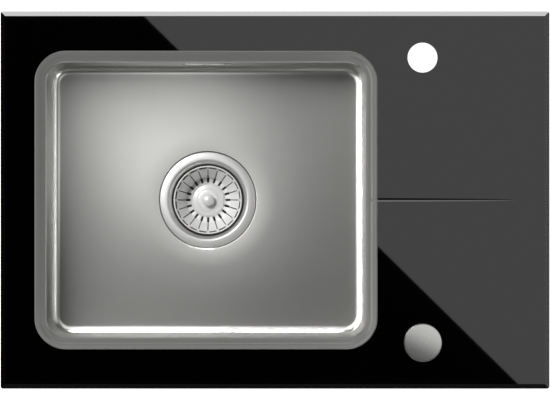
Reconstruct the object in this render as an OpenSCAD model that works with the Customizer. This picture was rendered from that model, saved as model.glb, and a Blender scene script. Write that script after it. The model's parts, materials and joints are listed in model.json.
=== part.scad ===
// Glass-topped kitchen sink: a faceted black glass plate with one pressed steel bowl, a tap hole,
// a short drain groove, a basket waste lifted by a turning knob, an overflow and worktop clips.
// Millimetres. X runs along the plate, Y to the back, Z up. The origin is the middle of the plate
// at the level of the worktop, which is the underside of the foam seal.

/* [Glass plate] */
// Length of the glass plate, left to right
plate_l = 640; // [630:1:700]
// Width of the glass plate, front to back
plate_w = 440; // [436:1:500]
// Thickness of the glass
glass_t = 8; // [6:0.5:10]
// Radius of the plate's upright corners
plate_corner_r = 3; // [1:0.5:5]
// Width of the ground facet, seen from above
facet_w = 5.5; // [3:0.5:8]
// Height that the facet takes off the edge
facet_h = 3; // [1:0.5:4.5]
// Diameter of the tap hole
tap_d = 35; // [32:0.5:38]
// Distance from the bowl's lip to the middle of the tap hole and of the knob
deck_gap = 52.5; // [46:0.5:80]
// Distance from the plate's back edge to the middle of the tap hole
tap_inset = 54; // [45:1:70]
// Distance from the end of the drain groove to the plate's right edge
groove_gap = 38.5; // [30:0.5:80]
// Radius of the cutter that ground the groove
groove_r = 2; // [1.5:0.1:3]
// Depth of the groove at the bowl
groove_h = 1; // [0.6:0.1:1.3]
// Thickness of the foam seal under the plate
foam_t = 2; // [1:0.5:4]
// Width of the foam seal
foam_w = 8; // [5:0.5:10]
// Distance of the foam seal from the plate's edge
foam_inset = 3; // [2:0.5:5]

/* [Bowl] */
// Length of the bowl over its lip
rim_l = 400; // [390:1:420]
// Width of the bowl over its lip
rim_w = 348; // [330:1:352]
// Corner radius of the lip
rim_r = 36; // [34:1:45]
// Distance from the plate's left edge to the lip
bowl_gap = 39.5; // [35:0.5:50]
// Thickness of the bowl's steel
sheet_t = 1; // [0.8:0.1:1.4]
// Depth of the bowl, from the top of the glass to the floor
bowl_depth = 160; // [150:1:200]
// Width of the lip that lies on the glass
lip_w = 6; // [5.5:0.5:8]
// Overlap of the lip and the glass
lip_over = 4.5; // [3.5:0.1:5]
// Width of the step inside the lip
step_w = 2; // [1:0.5:3]
// Drop of the step inside the lip
step_h = 1.5; // [1:0.1:2]
// Width of the flat ledge inside the step
ledge_w = 3; // [2:0.2:6]
// Radius of the turn from the ledge to the wall
roll_r = 3; // [2.5:0.1:6]
// Amount that the wall leans in over its height
wall_lean = 0.8; // [0.5:0.1:5]
// Radius between the wall and the floor
floor_r = 9.2; // [7:0.1:12]
// Radius of the dished part of the floor
dish_r = 100; // [80:1:110]
// Fall of the floor towards the waste
dish_h = 2; // [1:0.5:4]
// Depth of the seat pressed for the waste flange
seat_h = 2; // [1:0.5:3]
// Thickness of the adhesive under the lip
bond_t = 0.5; // [0.3:0.1:0.8]
// Width of the sound pads under the floor
pad_w = 54; // [30:1:60]
// Length of the sound pads
pad_l = 180; // [120:1:220]
// Thickness of the sound pads
pad_t = 2.5; // [2:0.5:4]
// Distance of the pads from the dished part of the floor
pad_gap = 3; // [1:0.5:6]
// Corner radius of the pads
pad_corner_r = 6; // [2:1:12]

/* [Waste] */
// Radius of the waste flange
flange_r = 57.2; // [56:0.1:60]
// Radius of the flange's inner edge
throat_r = 46.6; // [46:0.1:48]
// Thickness of the flange at its edge
flange_t = 1; // [0.8:0.1:1.5]
// Height of the flange's crown over its edge
crown_h = 1; // [0.6:0.1:1.5]
// Thickness of the seal under the flange
flange_seal_t = 1; // [0.6:0.1:1.5]
// Inside radius of the strainer cup
cup_r = 43; // [42.6:0.1:43.5]
// Thickness of the cup's steel
cup_t = 1; // [0.8:0.1:1.2]
// Drop from the flange's edge to the top of the cup's wall
throat_h = 4; // [3:0.5:6]
// Depth of the cup, from the flange's edge to its floor
cup_depth = 39; // [38:0.5:44]
// Radius at the foot of the cup's wall
cup_fillet_r = 4; // [2:0.5:6]
// Outer radius of the openings in the cup's floor
drain_r = 17.5; // [15:0.5:18]
// Width of the spokes between those openings
spoke_w = 5; // [4:0.5:7]
// Thickness of the seal between bowl and housing
body_seal_t = 3; // [2:0.5:4]
// Inside radius of the plastic housing
housing_r = 48; // [47:0.5:49]
// Wall of the plastic housing
housing_t = 2.5; // [2:0.1:3.5]
// Outside radius of the outlet, for a G 1 1/2 nut
outlet_r = 23.9; // [23.5:0.1:24.5]
// Thickness of the housing's sloping floor
housing_floor_t = 3; // [2:0.5:4]
// Length of the outlet
outlet_l = 25; // [18:1:30]
// Wall of the outlet
outlet_t = 3.4; // [2.5:0.1:5]

/* [Basket] */
// Outside radius of the basket's rim
basket_r = 41.5; // [40.5:0.1:42]
// Thickness of the basket's steel
basket_t = 0.8; // [0.6:0.1:1]
// Height of the basket, from its trough to its rim
basket_h = 28; // [25:0.5:30]
// Number of slots round the basket
slot_count = 20; // [12:1:24]
// Width of the slots in the basket's trough
slot_w = 2.6; // [1.5:0.1:3]
// Width of the slots in the basket's wall
wall_slot_w = 1.6; // [1:0.1:2.4]
// Width of the windows under the basket's rim
window_w = 9; // [6:0.5:9.5]
// Radius of the button on the basket
button_r = 7.2; // [6:0.1:8]
// Thickness of the basket's rubber seal
plug_t = 2.8; // [2:0.1:4]

/* [Remote control] */
// Distance from the plate's front edge to the middle of the knob
knob_inset = 54; // [52:1:65]
// Radius of the knob
knob_r = 22; // [20:0.5:24]
// Height of the knob
knob_h = 17; // [14:0.5:22]
// Diameter of the hole drilled for the knob
knob_hole_d = 35; // [30:0.5:38]
// Radius of the threaded bush under the knob
bush_r = 12; // [10:0.5:13]
// Radius of the knob's spindle
spindle_r = 5; // [4:0.1:6]
// Travel of the basket when the knob is turned
lift_h = 9; // [6:0.5:10]
// Travel of the cable's core
pull_l = 11; // [9:0.5:12]
// Radius of the cable's outer sheath
sheath_r = 2.5; // [2:0.1:3]
// Radius of the cable's core
core_r = 0.75; // [0.6:0.05:0.9]

/* [Overflow] */
// Length of the overflow slot
over_l = 44; // [36:1:50]
// Height of the overflow slot
over_h = 12; // [10:1:14]
// Depth of the overflow slot's centre under the top of the glass
over_z = 45; // [40:1:60]
// Inside radius of the hose
hose_bore_r = 8.5; // [8:0.1:9.5]
// Outside radius of the hose over its ribs
hose_r = 11.6; // [11:0.1:12.5]
// Radius of the hose's bend
hose_bend_r = 40; // [36:1:46]
// Number of ribs on the hose
rib_count = 44; // [20:1:60]

/* [Clips] */
// Distance from the plate's ends to the clips' studs
clip_end = 95; // [75:1:105]
// Distance from the foam seal to the clips' studs
clip_gap = 11; // [10:0.5:14]
// Radius of the studs
stud_r = 3; // [2.5:0.1:4]
// Length of the studs under the glass
stud_l = 58; // [50:1:70]
// Length of a clip's foot, from stud to tip
foot_l = 38; // [30:1:45]
// Width of a clip's foot
foot_w = 16; // [12:1:18]
// Length of the plate that glues a stud to the glass
stud_plate_l = 56; // [40:1:60]
// Width of that plate
stud_plate_w = 18; // [14:1:19]
// Thickness of a clip's foot
foot_t = 2.5; // [2:0.5:3]
// Height of the foot's turned-up tip
tip_h = 6; // [4:0.5:8]

/* [Hidden] */
$fn = 96;

// Clearances
run_gap = 0.06;
slip_gap = 0.2;
rest_gap = 0.2;
eps = 1;

// Heights of the plate
glass_z0 = foam_t;
glass_z1 = foam_t + glass_t;

// Bowl: places on its section, measured inwards from the lip's outer edge
bowl_x = -plate_l / 2 + bowl_gap + rim_l / 2;
curl_r = bond_t + sheet_t;
lip_z = glass_z1 + curl_r;
ledge_z = lip_z - step_h;
u_step = lip_w + step_w;
u_ledge = u_step + ledge_w;
u_wall = u_ledge + roll_r;
u_foot = u_wall + wall_lean;
u_floor = u_foot + floor_r;
roll_z = ledge_z - roll_r;
floor_z = glass_z1 - bowl_depth;
foot_z = floor_z + floor_r;
lean_angle = atan(wall_lean / (roll_z - foot_z));
notch_r = 3;
notch_h = 0.6;
foam_corner_r = 2;

// Places on the deck beside the bowl
lip_x = bowl_x + rim_l / 2;
tap_x = lip_x + deck_gap;
tap_y = plate_w / 2 - tap_inset;
knob_x = tap_x;
knob_y = knob_inset - plate_w / 2;
groove_l = plate_l / 2 - groove_gap - lip_x;

// Waste: heights, from the bowl's pressed seat down to the outlet
seat_r = flange_r + 0.6;
seat_edge_w = 1.5;
seat_z = floor_z - dish_h - seat_h;
hole_r = throat_r + cup_t + 0.6;
seal_inset = 1;
flange_z = seat_z + flange_seal_t;
flange_edge_z = flange_z + flange_t;
cup_floor_z = flange_edge_z - cup_depth;
screw_head_r = 8;
screw_head_t = 2.5;
screw_r = 4;
pin_r = 2.5;
screw_gap = 0.05;
screw_end = 0.4;
slot_cut_w = 1.8;
slot_cut_h = 0.8;
head_land = 1.5;
boss_r = 9;
boss_drop = 3;
boss_h = 8;
boss_z = cup_floor_z - cup_t - boss_drop - boss_h;
housing_flange_r = flange_r - 0.2;
housing_flange_t = 4;
housing_z1 = seat_z - sheet_t - body_seal_t;
rib_w = 3;
rib_inset = 1;

// Lever that lifts the basket: it swings as far below level as above it
lever_r = 3;
lever_arm = 20;
lever_y = 20;
pin_z0 = boss_z - 0.5 - lift_h;
tip_r = 3;
tip_gap = 0.3;
lever_z = pin_z0 - tip_gap - tip_r + lift_h / 2;
lever_half = asin(lift_h / 2 / lever_arm);
crank_l = pull_l / (2 * sin(lever_half));
crank_t = 4;
crank_w = 7;
crank_hub_r = 5;
crank_end_r = 4;
arm_t = 4;
chamber_z = lever_z - lift_h / 2 - tip_r - 3;
cone_h = 6;
outlet_z1 = chamber_z - cone_h;
outlet_z0 = outlet_z1 - housing_floor_t - outlet_l;
port_r = 7;
port_seal_t = 2.5;
port_cap_t = 2;
port_cap_in = 6;
port_cap_wall = 2.4;
port_fit = 0.05;
port_seal_gap = 0.6;
port_x = housing_r + housing_t + port_cap_in + 1.5;
crank_x = port_x + port_seal_t + port_cap_t + 3.5;

// Basket: heights, from its seal up to its rim
stem_t = 1.2;
stem_z = cup_floor_z + rest_gap + plug_t;
trough_z = stem_z + stem_t;
trough_r0 = drain_r + 3.5;
trough_r1 = trough_r0 + 5.4;
plug_r = trough_r1 + 1.1;
rim_bead_r = 0.9;
basket_rim_z = trough_z + basket_h;
rim_bead_z = basket_rim_z - rim_bead_r;
shoulder_r = basket_r - 4.5;
shoulder_z = basket_rim_z - 6.5;
slot_z1 = shoulder_z - 4;
hub_r = 13.8;
hub_z = trough_z + 8;
hub_edge_w = 2;
hub_edge_h = 0.6;
hub_fall = 2.4;
trough_side_w = 2;
trough_side_h = 3.4;
button_neck_r = button_r - 2.2;
button_neck_h = 4;
button_edge_h = 1.5;
button_dome_drop = 0.6 * button_r;
button_land = 0.2;
window_gap = 0.6;
window_top_gap = 1.8;
stem_r = 3;
stem_edge = 0.4;
pin_z1 = stem_z - tip_gap;

// Cable at the waste and at the knob
cable_z = lever_z - crank_l * (1 + cos(lever_half)) / 2;
bracket_y = -16;
bracket_t = 5;
bracket_wall = 4;
bracket_up = 12;
bracket_gap = 14;
gusset_l = 8;
ferrule_r = 4;
ferrule_l = 18;
ferrule_bore_r = 1.1;
pin_end_r = 1.4;
eye_r = 1.75;
eye_slack = 0.6;
cable_x = crank_x + crank_t / 2 + core_r + 0.3;
bush_z0 = glass_z0 - 34;
bush_flange_t = 2;
bush_flange_r = knob_r - 1;
thread_l = 12;
thread_fit = 0.05;
washer_top_t = 0.5;
washer_bottom_t = 2;
nut_t = 9;
nut_r = 20;
nut_flange_t = 2.5;
nut_hex_r = 18;
knob_chamfer = 0.4;
knob_bevel_w = 0.8;
knob_bevel_h = 1.2;
knob_dome_h = 1;
knob_dome_r = 200;
knob_rim_w = 2.5;
knob_hub_w = 4;
knob_top_t = 6;
set_screw_r = 2;
set_screw_l = 5;
set_screw_up = 4;
set_key_r = 1;
set_key_depth = 2;
bush_flange_z = glass_z1 + washer_top_t;
knob_z0 = bush_flange_z + bush_flange_t + slip_gap;
knob_z1 = knob_z0 + knob_h;
spindle_z1 = knob_z1 - 4;
spindle_z0 = bush_z0 - 10;
box_r = bush_r + 2.5;
box_floor_t = 4;
slider_r = bush_r - 3.2;
slider_h = 8;
slider_z0 = spindle_z0 - 1 - pull_l - slider_h;
box_z0 = slider_z0 - 2 - box_floor_t;
follower_r = 2.6;
follower_h = pull_l + 5;
collar_t = 3;
collar_w = 2;
lower_collar = 10;
sheath_in = bracket_y - lower_collar;
upper_ferrule_z = box_z0 - 16;

// Overflow: a frame on the bowl's back wall, turned to lie flat on it
wall_u = u_wall + wall_lean * (roll_z - (glass_z1 - over_z)) / (roll_z - foot_z);
wall_y = rim_w / 2 - wall_u;
over_centre_z = glass_z1 - over_z;
cover_t = 1;
cover_margin = 7;
cover_land = 2.5;
cover_bar_w = 6;
over_screw_r = 2.4;
over_screw_hole_r = 2.5;
over_screw_l = 16;
over_head_r = 4.2;
over_head_t = 1;
over_cut_w = 0.9;
over_seal_t = 2;
over_seal_side = 10;
over_seal_top = 7;
over_seal_land = 2;
elbow_t = 2;
elbow_d = 22;
elbow_side = 5;
elbow_top = 4;
elbow_pillar_r = 4.5;
elbow_neck_l = 10;
elbow_roof_t = 4;
spigot_r = hose_bore_r - slip_gap;
spigot_bore_r = spigot_r - 2;
spigot_y = wall_y + sheet_t + over_seal_t + elbow_d / 2 + 1;
spigot_l = 26;
hose_in = 16;
branch_z = floor_z - 30;
branch_y = 78;
hose_y0 = branch_y - hose_in;
hose_z1 = over_centre_z - spigot_l - elbow_neck_l + hose_in;
cuff_l = 20;
cuff_r = hose_bore_r + 2.2;
rib_valley_r = cuff_r - 0.6;
cuff_end = 0.6;
branch_boss_r = cuff_r - 0.4;
branch_boss_gap = 2;
hose_sides = 8;
clip_band_w = 8;
clip_band_t = 1;
clip_block_h = 4.5;
clip_at_elbow = 3;
clip_at_housing = 4;

// Worktop clips
clip_x = plate_l / 2 - clip_end;
clip_y = plate_w / 2 - foam_inset - foam_w - clip_gap;
stud_plate_t = 1.5;
stud_plate_r = 4;
tooth_w = 3;
tooth_h = 2;
hex_t = 5;
hex_r = 5.5;
stud_z0 = glass_z0 - stud_l;
hex_z0 = stud_z0 + 2;
foot_z0 = hex_z0 + hex_t + rest_gap;
// Side and end of the plate on which each clip sits
CLIPS = [[1, 1], [-1, 1], [-1, -1], [1, -1]];

// Route of the control cable, from the knob to the waste
WASTE = [bowl_x, 0];
SHEATH = [
    [knob_x, knob_y, upper_ferrule_z],
    [knob_x, knob_y, upper_ferrule_z - 20],
    [168, -167, -145],
    [154, -170, -180],
    [130, -174, -206],
    [98, -175, -223],
    [64, -168, -232],
    [34, -154, -235],
    [8, -130, -236],
    [-10, -98, -236],
    [bowl_x + cable_x, sheath_in - 36, cable_z],
    [bowl_x + cable_x, sheath_in - 18, cable_z],
    [bowl_x + cable_x, sheath_in, cable_z]
];
sheath_steps = 3;
sheath_sides = 8;

// Rectangle with true arcs at its corners
module round_rect(l, w, r) {
    square([l - 2 * r, w], center = true);
    square([l, w - 2 * r], center = true);
    for (sx = [-1, 1], sy = [-1, 1])
        translate([sx * (l / 2 - r), sy * (w / 2 - r)]) circle(r);
}

// Slab with rounded corners between two heights
module round_slab(l, w, r, z0, z1) {
    translate([0, 0, z0]) linear_extrude(z1 - z0) round_rect(l, w, r);
}

// Ring between two radii and two heights
module ring(r_in, r_out, z0, z1) {
    translate([0, 0, z0]) difference() {
        cylinder(r = r_out, h = z1 - z0);
        translate([0, 0, -eps]) cylinder(r = r_in, h = z1 - z0 + 2 * eps);
    }
}

// Cylinder along +X
module rod_x(r, x0, x1) {
    translate([x0, 0, 0]) rotate([0, 90, 0]) cylinder(r = r, h = x1 - x0);
}

// Cylinder along +Y
module rod_y(r, y0, y1) {
    translate([0, y0, 0]) rotate([-90, 0, 0]) cylinder(r = r, h = y1 - y0);
}

// Quarter of a ring in the section plane, in the quadrant that dx and dy name
module arc_strip(r_out, r_in, dx, dy) {
    intersection() {
        difference() {
            circle(r_out);
            circle(r_in);
        }
        translate([dx > 0 ? 0 : -r_out, dy > 0 ? 0 : -r_out]) square(r_out);
    }
}

// Carries a section round a rounded rectangle. The section's x is measured from the corner's centre.
module round_rect_sweep(l, w, r) {
    for (turn = [0, 180]) rotate(turn) {
        translate([l / 2 - r, w / 2 - r, 0]) rotate_extrude(angle = 90) children();
        translate([-(l / 2 - r), w / 2 - r, 0]) rotate(90) rotate_extrude(angle = 90) children();
        translate([-(l / 2 - r), w / 2 - r, 0]) rotate([90, 0, 90]) linear_extrude(l - 2 * r) children();
        translate([l / 2 - r, w / 2 - r, 0]) rotate([90, 0, 0]) linear_extrude(w - 2 * r) children();
    }
}

// Triangles of a tube through a list of rings, each with the same number of points
function ring_faces(rings, sides) = [
    for (i = [0:rings - 2], j = [0:sides - 1])
        let (a = i * sides + j, b = i * sides + (j + 1) % sides)
            each [[a, b, a + sides], [b, b + sides, a + sides]]
];
function fan(first, sides, flip) = [
    for (j = [1:sides - 2]) flip ? [first, first + j, first + j + 1] : [first, first + j + 1, first + j]
];

// Catmull-Rom point between p[i] and p[i + 1]
function spline(p, i, t) =
    let (
        n = len(p) - 1,
        a = i > 0 ? p[i - 1] : 2 * p[0] - p[1],
        b = p[i],
        c = p[i + 1],
        d = i + 2 <= n ? p[i + 2] : 2 * p[n] - p[n - 1]
    )
    0.5 * (2 * b + (c - a) * t + (2 * a - 5 * b + 4 * c - d) * t * t + (3 * b - a - 3 * c + d) * t * t * t);
function unit(v) = v / norm(v);
function track(p, steps) = [
    for (i = [0:len(p) - 2], k = [0:steps - 1]) spline(p, i, k / steps),
    p[len(p) - 1]
];
function heading(p, i) = unit(p[min(i + 1, len(p) - 1)] - p[max(i - 1, 0)]);

// Points of a ring of radius r round centre c, square to direction d, turned from side vector s
function ring_at(c, d, s, r, sides) =
    let (n1 = unit(s - (s * d) * d), n2 = cross(d, n1))
    [for (j = [0:sides - 1]) c + r * (cos(360 * j / sides) * n1 + sin(360 * j / sides) * n2)];

/* Glass plate and its seal */

module glass_plate() color([0.03, 0.03, 0.035]) difference() {
    round_slab(plate_l, plate_w, plate_corner_r, glass_z0, glass_z1);
    for (turn = [0, 90, 180, 270]) rotate(turn) facet_cutter(turn % 180 == 0 ? plate_l / 2 : plate_w / 2);
    translate([bowl_x, 0, 0]) bowl_opening();
    translate([tap_x, tap_y, glass_z0 - eps]) cylinder(d = tap_d, h = glass_t + 2 * eps);
    translate([knob_x, knob_y, glass_z0 - eps]) cylinder(d = knob_hole_d, h = glass_t + 2 * eps);
    groove_cutter();
}

// Opening in the glass, which the lip overlaps all round
module bowl_opening() {
    over = 2 * lip_over;
    round_slab(rim_l - over, rim_w - over, rim_r - lip_over, glass_z0 - eps, glass_z1 + eps);
}

// Wedge that grinds the facet on the side at +X
module facet_cutter(half) {
    long = plate_l + plate_w;
    translate([0, long / 2, 0]) rotate([90, 0, 0]) linear_extrude(long) polygon([
        [half - facet_w, glass_z1],
        [half, glass_z1 - facet_h],
        [half + eps, glass_z1 - facet_h],
        [half + eps, glass_z1 + eps],
        [half - facet_w, glass_z1 + eps]
    ]);
}

// Round cutter that rises out of the glass away from the bowl, so the groove tapers to a point
module groove_cutter() {
    rise = atan(groove_h / groove_l);
    translate([lip_x, 0, glass_z1 + groove_r - groove_h]) rotate([0, 90 - rise, 0])
        translate([0, 0, -lip_w]) cylinder(r = groove_r, h = groove_l + 2 * lip_w);
}

module foam_seal() color([0.25, 0.25, 0.26]) difference() {
    outer = 2 * foam_inset;
    inner = outer + 2 * foam_w;
    round_slab(plate_l - outer, plate_w - outer, foam_w + foam_corner_r, 0, foam_t);
    round_slab(plate_l - inner, plate_w - inner, foam_corner_r, -eps, foam_t + eps);
}

/* Bowl */

// Section of the pressed edge and wall. x runs inwards from the lip's outer edge.
module bowl_section() {
    translate([curl_r, glass_z1]) arc_strip(curl_r, bond_t, -1, 1);
    translate([curl_r, lip_z - sheet_t]) square([lip_w - curl_r, sheet_t]);
    polygon([[lip_w, lip_z], [u_step, ledge_z], [u_step, ledge_z - sheet_t], [lip_w, lip_z - sheet_t]]);
    translate([u_step, ledge_z - sheet_t]) square([ledge_w, sheet_t]);
    translate([u_ledge, roll_z]) arc_strip(roll_r, roll_r - sheet_t, 1, 1);
    polygon([[u_wall, roll_z], [u_foot, foot_z], [u_foot - sheet_t, foot_z], [u_wall - sheet_t, roll_z]]);
    translate([u_floor, foot_z]) arc_strip(floor_r + sheet_t, floor_r, -1, -1);
}

// Section of the dished floor and the seat for the waste, round the waste's axis
module dish_section() {
    top = [
        [dish_r, floor_z],
        [seat_r + seat_edge_w, floor_z - dish_h],
        [seat_r, seat_z],
        [hole_r, seat_z]
    ];
    polygon([for (p = top) p, for (i = [len(top) - 1:-1:0]) top[i] - [0, sheet_t]]);
}

module bowl() color([0.72, 0.72, 0.7]) translate([bowl_x, 0, 0]) difference() {
    union() {
        round_rect_sweep(rim_l, rim_w, rim_r) translate([rim_r, 0]) mirror([1, 0]) bowl_section();
        difference() {
            round_slab(rim_l - 2 * u_floor, rim_w - 2 * u_floor, rim_r - u_floor, floor_z - sheet_t, floor_z);
            translate([0, 0, floor_z - sheet_t - eps]) cylinder(r = dish_r, h = sheet_t + 2 * eps);
        }
        rotate_extrude() dish_section();
    }
    over_frame() over_plate(over_l, over_h, -eps, sheet_t + eps);
    spout_cutter();
}

// Notch pressed in the lip where the drain groove meets it
module spout_cutter()
    translate([rim_l / 2 - lip_w, 0, lip_z + notch_r - notch_h]) rod_x(notch_r, 0, lip_w + eps);

module rim_bond() color([0.1, 0.1, 0.1]) translate([bowl_x, 0, 0])
    round_rect_sweep(rim_l, rim_w, rim_r) translate([rim_r, 0]) mirror([1, 0])
        translate([curl_r, glass_z1]) square([lip_over - curl_r, bond_t]);

module sound_pads() color([0.2, 0.2, 0.21]) for (side = [-1, 1])
    translate([bowl_x + side * (dish_r + pad_gap + pad_w / 2), 0, 0])
        round_slab(pad_w, pad_l, pad_corner_r, floor_z - sheet_t - pad_t, floor_z - sheet_t);

/* Waste */

module flange_seal() color([0.85, 0.85, 0.83]) translate(WASTE)
    ring(hole_r + seal_inset, flange_r - seal_inset, seat_z, flange_z);

// Section of the cup: crowned flange, sloping throat, wall and floor
module cup_section() {
    half = (flange_r - throat_r) / 2;
    crown_r = (half * half + crown_h * crown_h) / (2 * crown_h);
    intersection() {
        translate([throat_r + half, flange_edge_z + crown_h - crown_r]) circle(crown_r);
        translate([throat_r, flange_z]) square([2 * half, flange_t + crown_h]);
    }
    polygon([
        [throat_r, flange_edge_z],
        [cup_r, flange_edge_z - throat_h],
        [cup_r + cup_t, flange_edge_z - throat_h],
        [throat_r + cup_t, flange_z]
    ]);
    translate([cup_r, cup_floor_z + cup_fillet_r]) square([cup_t, cup_depth - throat_h - cup_fillet_r]);
    translate([cup_r - cup_fillet_r, cup_floor_z + cup_fillet_r])
        arc_strip(cup_fillet_r + cup_t, cup_fillet_r, 1, -1);
    floor_r0 = screw_r + slip_gap;
    translate([floor_r0, cup_floor_z - cup_t]) square([cup_r - cup_fillet_r - floor_r0, cup_t]);
}

module strainer_cup() color([0.8, 0.8, 0.8]) translate(WASTE) difference() {
    rotate_extrude() cup_section();
    difference() {
        ring(screw_head_r + head_land, drain_r, cup_floor_z - cup_t - eps, cup_floor_z + eps);
        for (turn = [0, 90]) rotate(turn) translate([0, 0, cup_floor_z])
            cube([2 * (drain_r + eps), spoke_w, 4 * eps + cup_t], center = true);
    }
}

module body_seal() color([0.08, 0.08, 0.08]) translate(WASTE)
    ring(hole_r + seal_inset, housing_flange_r - seal_inset, housing_z1, housing_z1 + body_seal_t);

// Hollow of the housing: chamber, cone and outlet
module housing_cavity() {
    translate([0, 0, chamber_z]) cylinder(r = housing_r, h = housing_z1 - chamber_z + eps);
    translate([0, 0, outlet_z1]) cylinder(r1 = outlet_r - outlet_t, r2 = housing_r, h = cone_h);
    translate([0, 0, outlet_z0 - eps]) cylinder(r = outlet_r - outlet_t, h = outlet_z1 - outlet_z0 + 2 * eps);
}

module waste_housing() color([0.9, 0.9, 0.88]) translate(WASTE) {
    difference() {
        union() {
            translate([0, 0, housing_z1 - housing_flange_t])
                cylinder(r = housing_flange_r, h = housing_flange_t);
            translate([0, 0, chamber_z - housing_floor_t])
                cylinder(r = housing_r + housing_t, h = housing_z1 - chamber_z + housing_floor_t);
            translate([0, 0, outlet_z1 - housing_floor_t])
                cylinder(r1 = outlet_r, r2 = housing_r + housing_t, h = cone_h);
            translate([0, 0, outlet_z0]) cylinder(r = outlet_r, h = outlet_l + eps);
            translate([0, 0, branch_z]) rod_y(branch_boss_r, housing_r, hose_y0 - branch_boss_gap);
            translate([0, 0, branch_z]) rod_y(spigot_r, housing_r, branch_y);
            translate([0, lever_y, lever_z]) rod_x(port_r, 0, port_x);
            cable_bracket();
        }
        housing_cavity();
        translate([0, 0, branch_z]) rod_y(spigot_bore_r, 0, branch_y + eps);
        translate([0, lever_y, lever_z]) rod_x(lever_r + run_gap, 0, port_x + eps);
        translate([cable_x, 0, cable_z])
            rod_y(ferrule_r + run_gap, bracket_y - eps, bracket_y + bracket_t + eps);
    }
    housing_spider();
}

// Plate with a rib that hangs from the housing beside the outlet and holds the end of the cable's sheath
module cable_bracket() {
    low = cable_z - ferrule_r - bracket_wall;
    high = chamber_z + bracket_up;
    x0 = outlet_r + bracket_gap;
    x1 = cable_x + ferrule_r + bracket_wall;
    translate([x0, bracket_y, low]) cube([x1 - x0, bracket_t, high - low]);
    translate([x0, bracket_y - gusset_l, chamber_z]) cube([bracket_t, gusset_l + eps, high - chamber_z]);
}

// Three ribs and a boss that take the clamp screw
module housing_spider() {
    difference() {
        union() {
            translate([0, 0, boss_z]) cylinder(r = boss_r, h = boss_h);
            for (turn = [90, 210, 330]) rotate(turn)
                translate([0, -rib_w / 2, boss_z + rib_inset])
                    cube([housing_r + housing_t / 2, rib_w, boss_h - 2 * rib_inset]);
        }
        translate([0, 0, boss_z - eps]) cylinder(r = screw_r + screw_gap, h = boss_h + 2 * eps);
    }
}

module clamp_screw() color([0.75, 0.75, 0.75]) translate(WASTE) difference() {
    union() {
        translate([0, 0, cup_floor_z]) cylinder(r = screw_head_r, h = screw_head_t);
        translate([0, 0, boss_z - screw_end]) cylinder(r = screw_r, h = cup_floor_z - boss_z + screw_end);
    }
    translate([0, 0, boss_z - eps])
        cylinder(r = pin_r + run_gap, h = cup_floor_z - boss_z + screw_head_t + 2 * eps);
    for (turn = [0, 90]) rotate(turn) translate([0, 0, cup_floor_z + screw_head_t])
        cube([2 * (screw_head_r + eps), slot_cut_w, 2 * slot_cut_h], center = true);
}

/* Basket */

// Section of the basket: hub, trough, sloping wall, shoulder and rolled rim
module basket_section() {
    top = [
        [stem_r + slip_gap, hub_z],
        [hub_r - hub_edge_w, hub_z - hub_edge_h],
        [hub_r, hub_z - hub_fall],
        [trough_r0 - trough_side_w, trough_z + trough_side_h],
        [trough_r0, trough_z + basket_t],
        [trough_r1, trough_z + basket_t],
        [shoulder_r, shoulder_z]
    ];
    bead = [for (a = [190:-30:-80]) [basket_r - rim_bead_r, rim_bead_z] + rim_bead_r * [cos(a), sin(a)]];
    under = [0, -basket_t];
    behind = [basket_t, 0];
    last = len(top) - 1;
    polygon(concat(top, bead, [for (i = [last:-1:0]) top[i] + (i == last ? behind : under)]));
}

module basket() color([0.82, 0.82, 0.82]) translate(WASTE) difference() {
    rotate_extrude() basket_section();
    for (k = [0:slot_count - 1]) rotate(360 * k / slot_count) {
        basket_slot();
        rotate(180 / slot_count) basket_window();
    }
}

// Slot that is wide in the trough and narrow up the wall, along +X
module basket_slot() {
    r0 = trough_r0 - 0.6;
    r1 = trough_r1 + 0.4;
    r2 = trough_r1 - 1;
    translate([r0, -slot_w / 2, trough_z - eps]) cube([r1 - r0, slot_w, 3 * eps]);
    translate([r2, -wall_slot_w / 2, trough_z - eps])
        cube([basket_r - r2, wall_slot_w, slot_z1 - trough_z + eps]);
}

// Window in the steep band under the rim, on +X
module basket_window() {
    z0 = shoulder_z + window_gap;
    z1 = rim_bead_z - window_top_gap;
    translate([shoulder_r - 2, -window_w / 2, z0]) cube([basket_r, window_w, z1 - z0]);
}

module basket_button() color([0.85, 0.85, 0.85]) translate(WASTE) {
    edge_z = hub_z + button_neck_h;
    translate([0, 0, hub_z]) cylinder(r = button_neck_r, h = button_neck_h);
    translate([0, 0, edge_z]) cylinder(r = button_r, h = button_edge_h);
    translate([0, 0, edge_z + button_edge_h]) intersection() {
        translate([0, 0, -button_dome_drop]) sphere(r = norm([button_r - button_land, button_dome_drop]));
        cylinder(r = button_r, h = button_r);
    }
}

module basket_stem() color([0.7, 0.7, 0.7]) translate(WASTE) {
    translate([0, 0, stem_z]) cylinder(r = trough_r0 + stem_edge, h = stem_t);
    translate([0, 0, stem_z]) cylinder(r = stem_r, h = hub_z - stem_z);
}

module basket_plug() color([0.07, 0.07, 0.07]) translate(WASTE)
    ring(screw_head_r + 3, plug_r, stem_z - plug_t, stem_z);

/* Lifting gear */

module lift_pin() color([0.75, 0.75, 0.75]) translate(WASTE)
    translate([0, 0, pin_z0]) cylinder(r = pin_r, h = pin_z1 - pin_z0);

// Shaft with an arm under the pin and a crank outside the housing
module lift_lever() color([0.6, 0.6, 0.6]) translate([bowl_x, lever_y, lever_z]) rotate([lever_half, 0, 0]) {
    rod_x(lever_r, -tip_r, crank_x + crank_t / 2);
    translate([-tip_r, -lever_arm, -arm_t / 2]) cube([2 * tip_r, lever_arm, arm_t]);
    translate([0, -lever_arm, 0]) rod_x(tip_r, -tip_r, tip_r);
    translate([crank_x - crank_t / 2, 0, 0]) crank();
}

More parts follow.
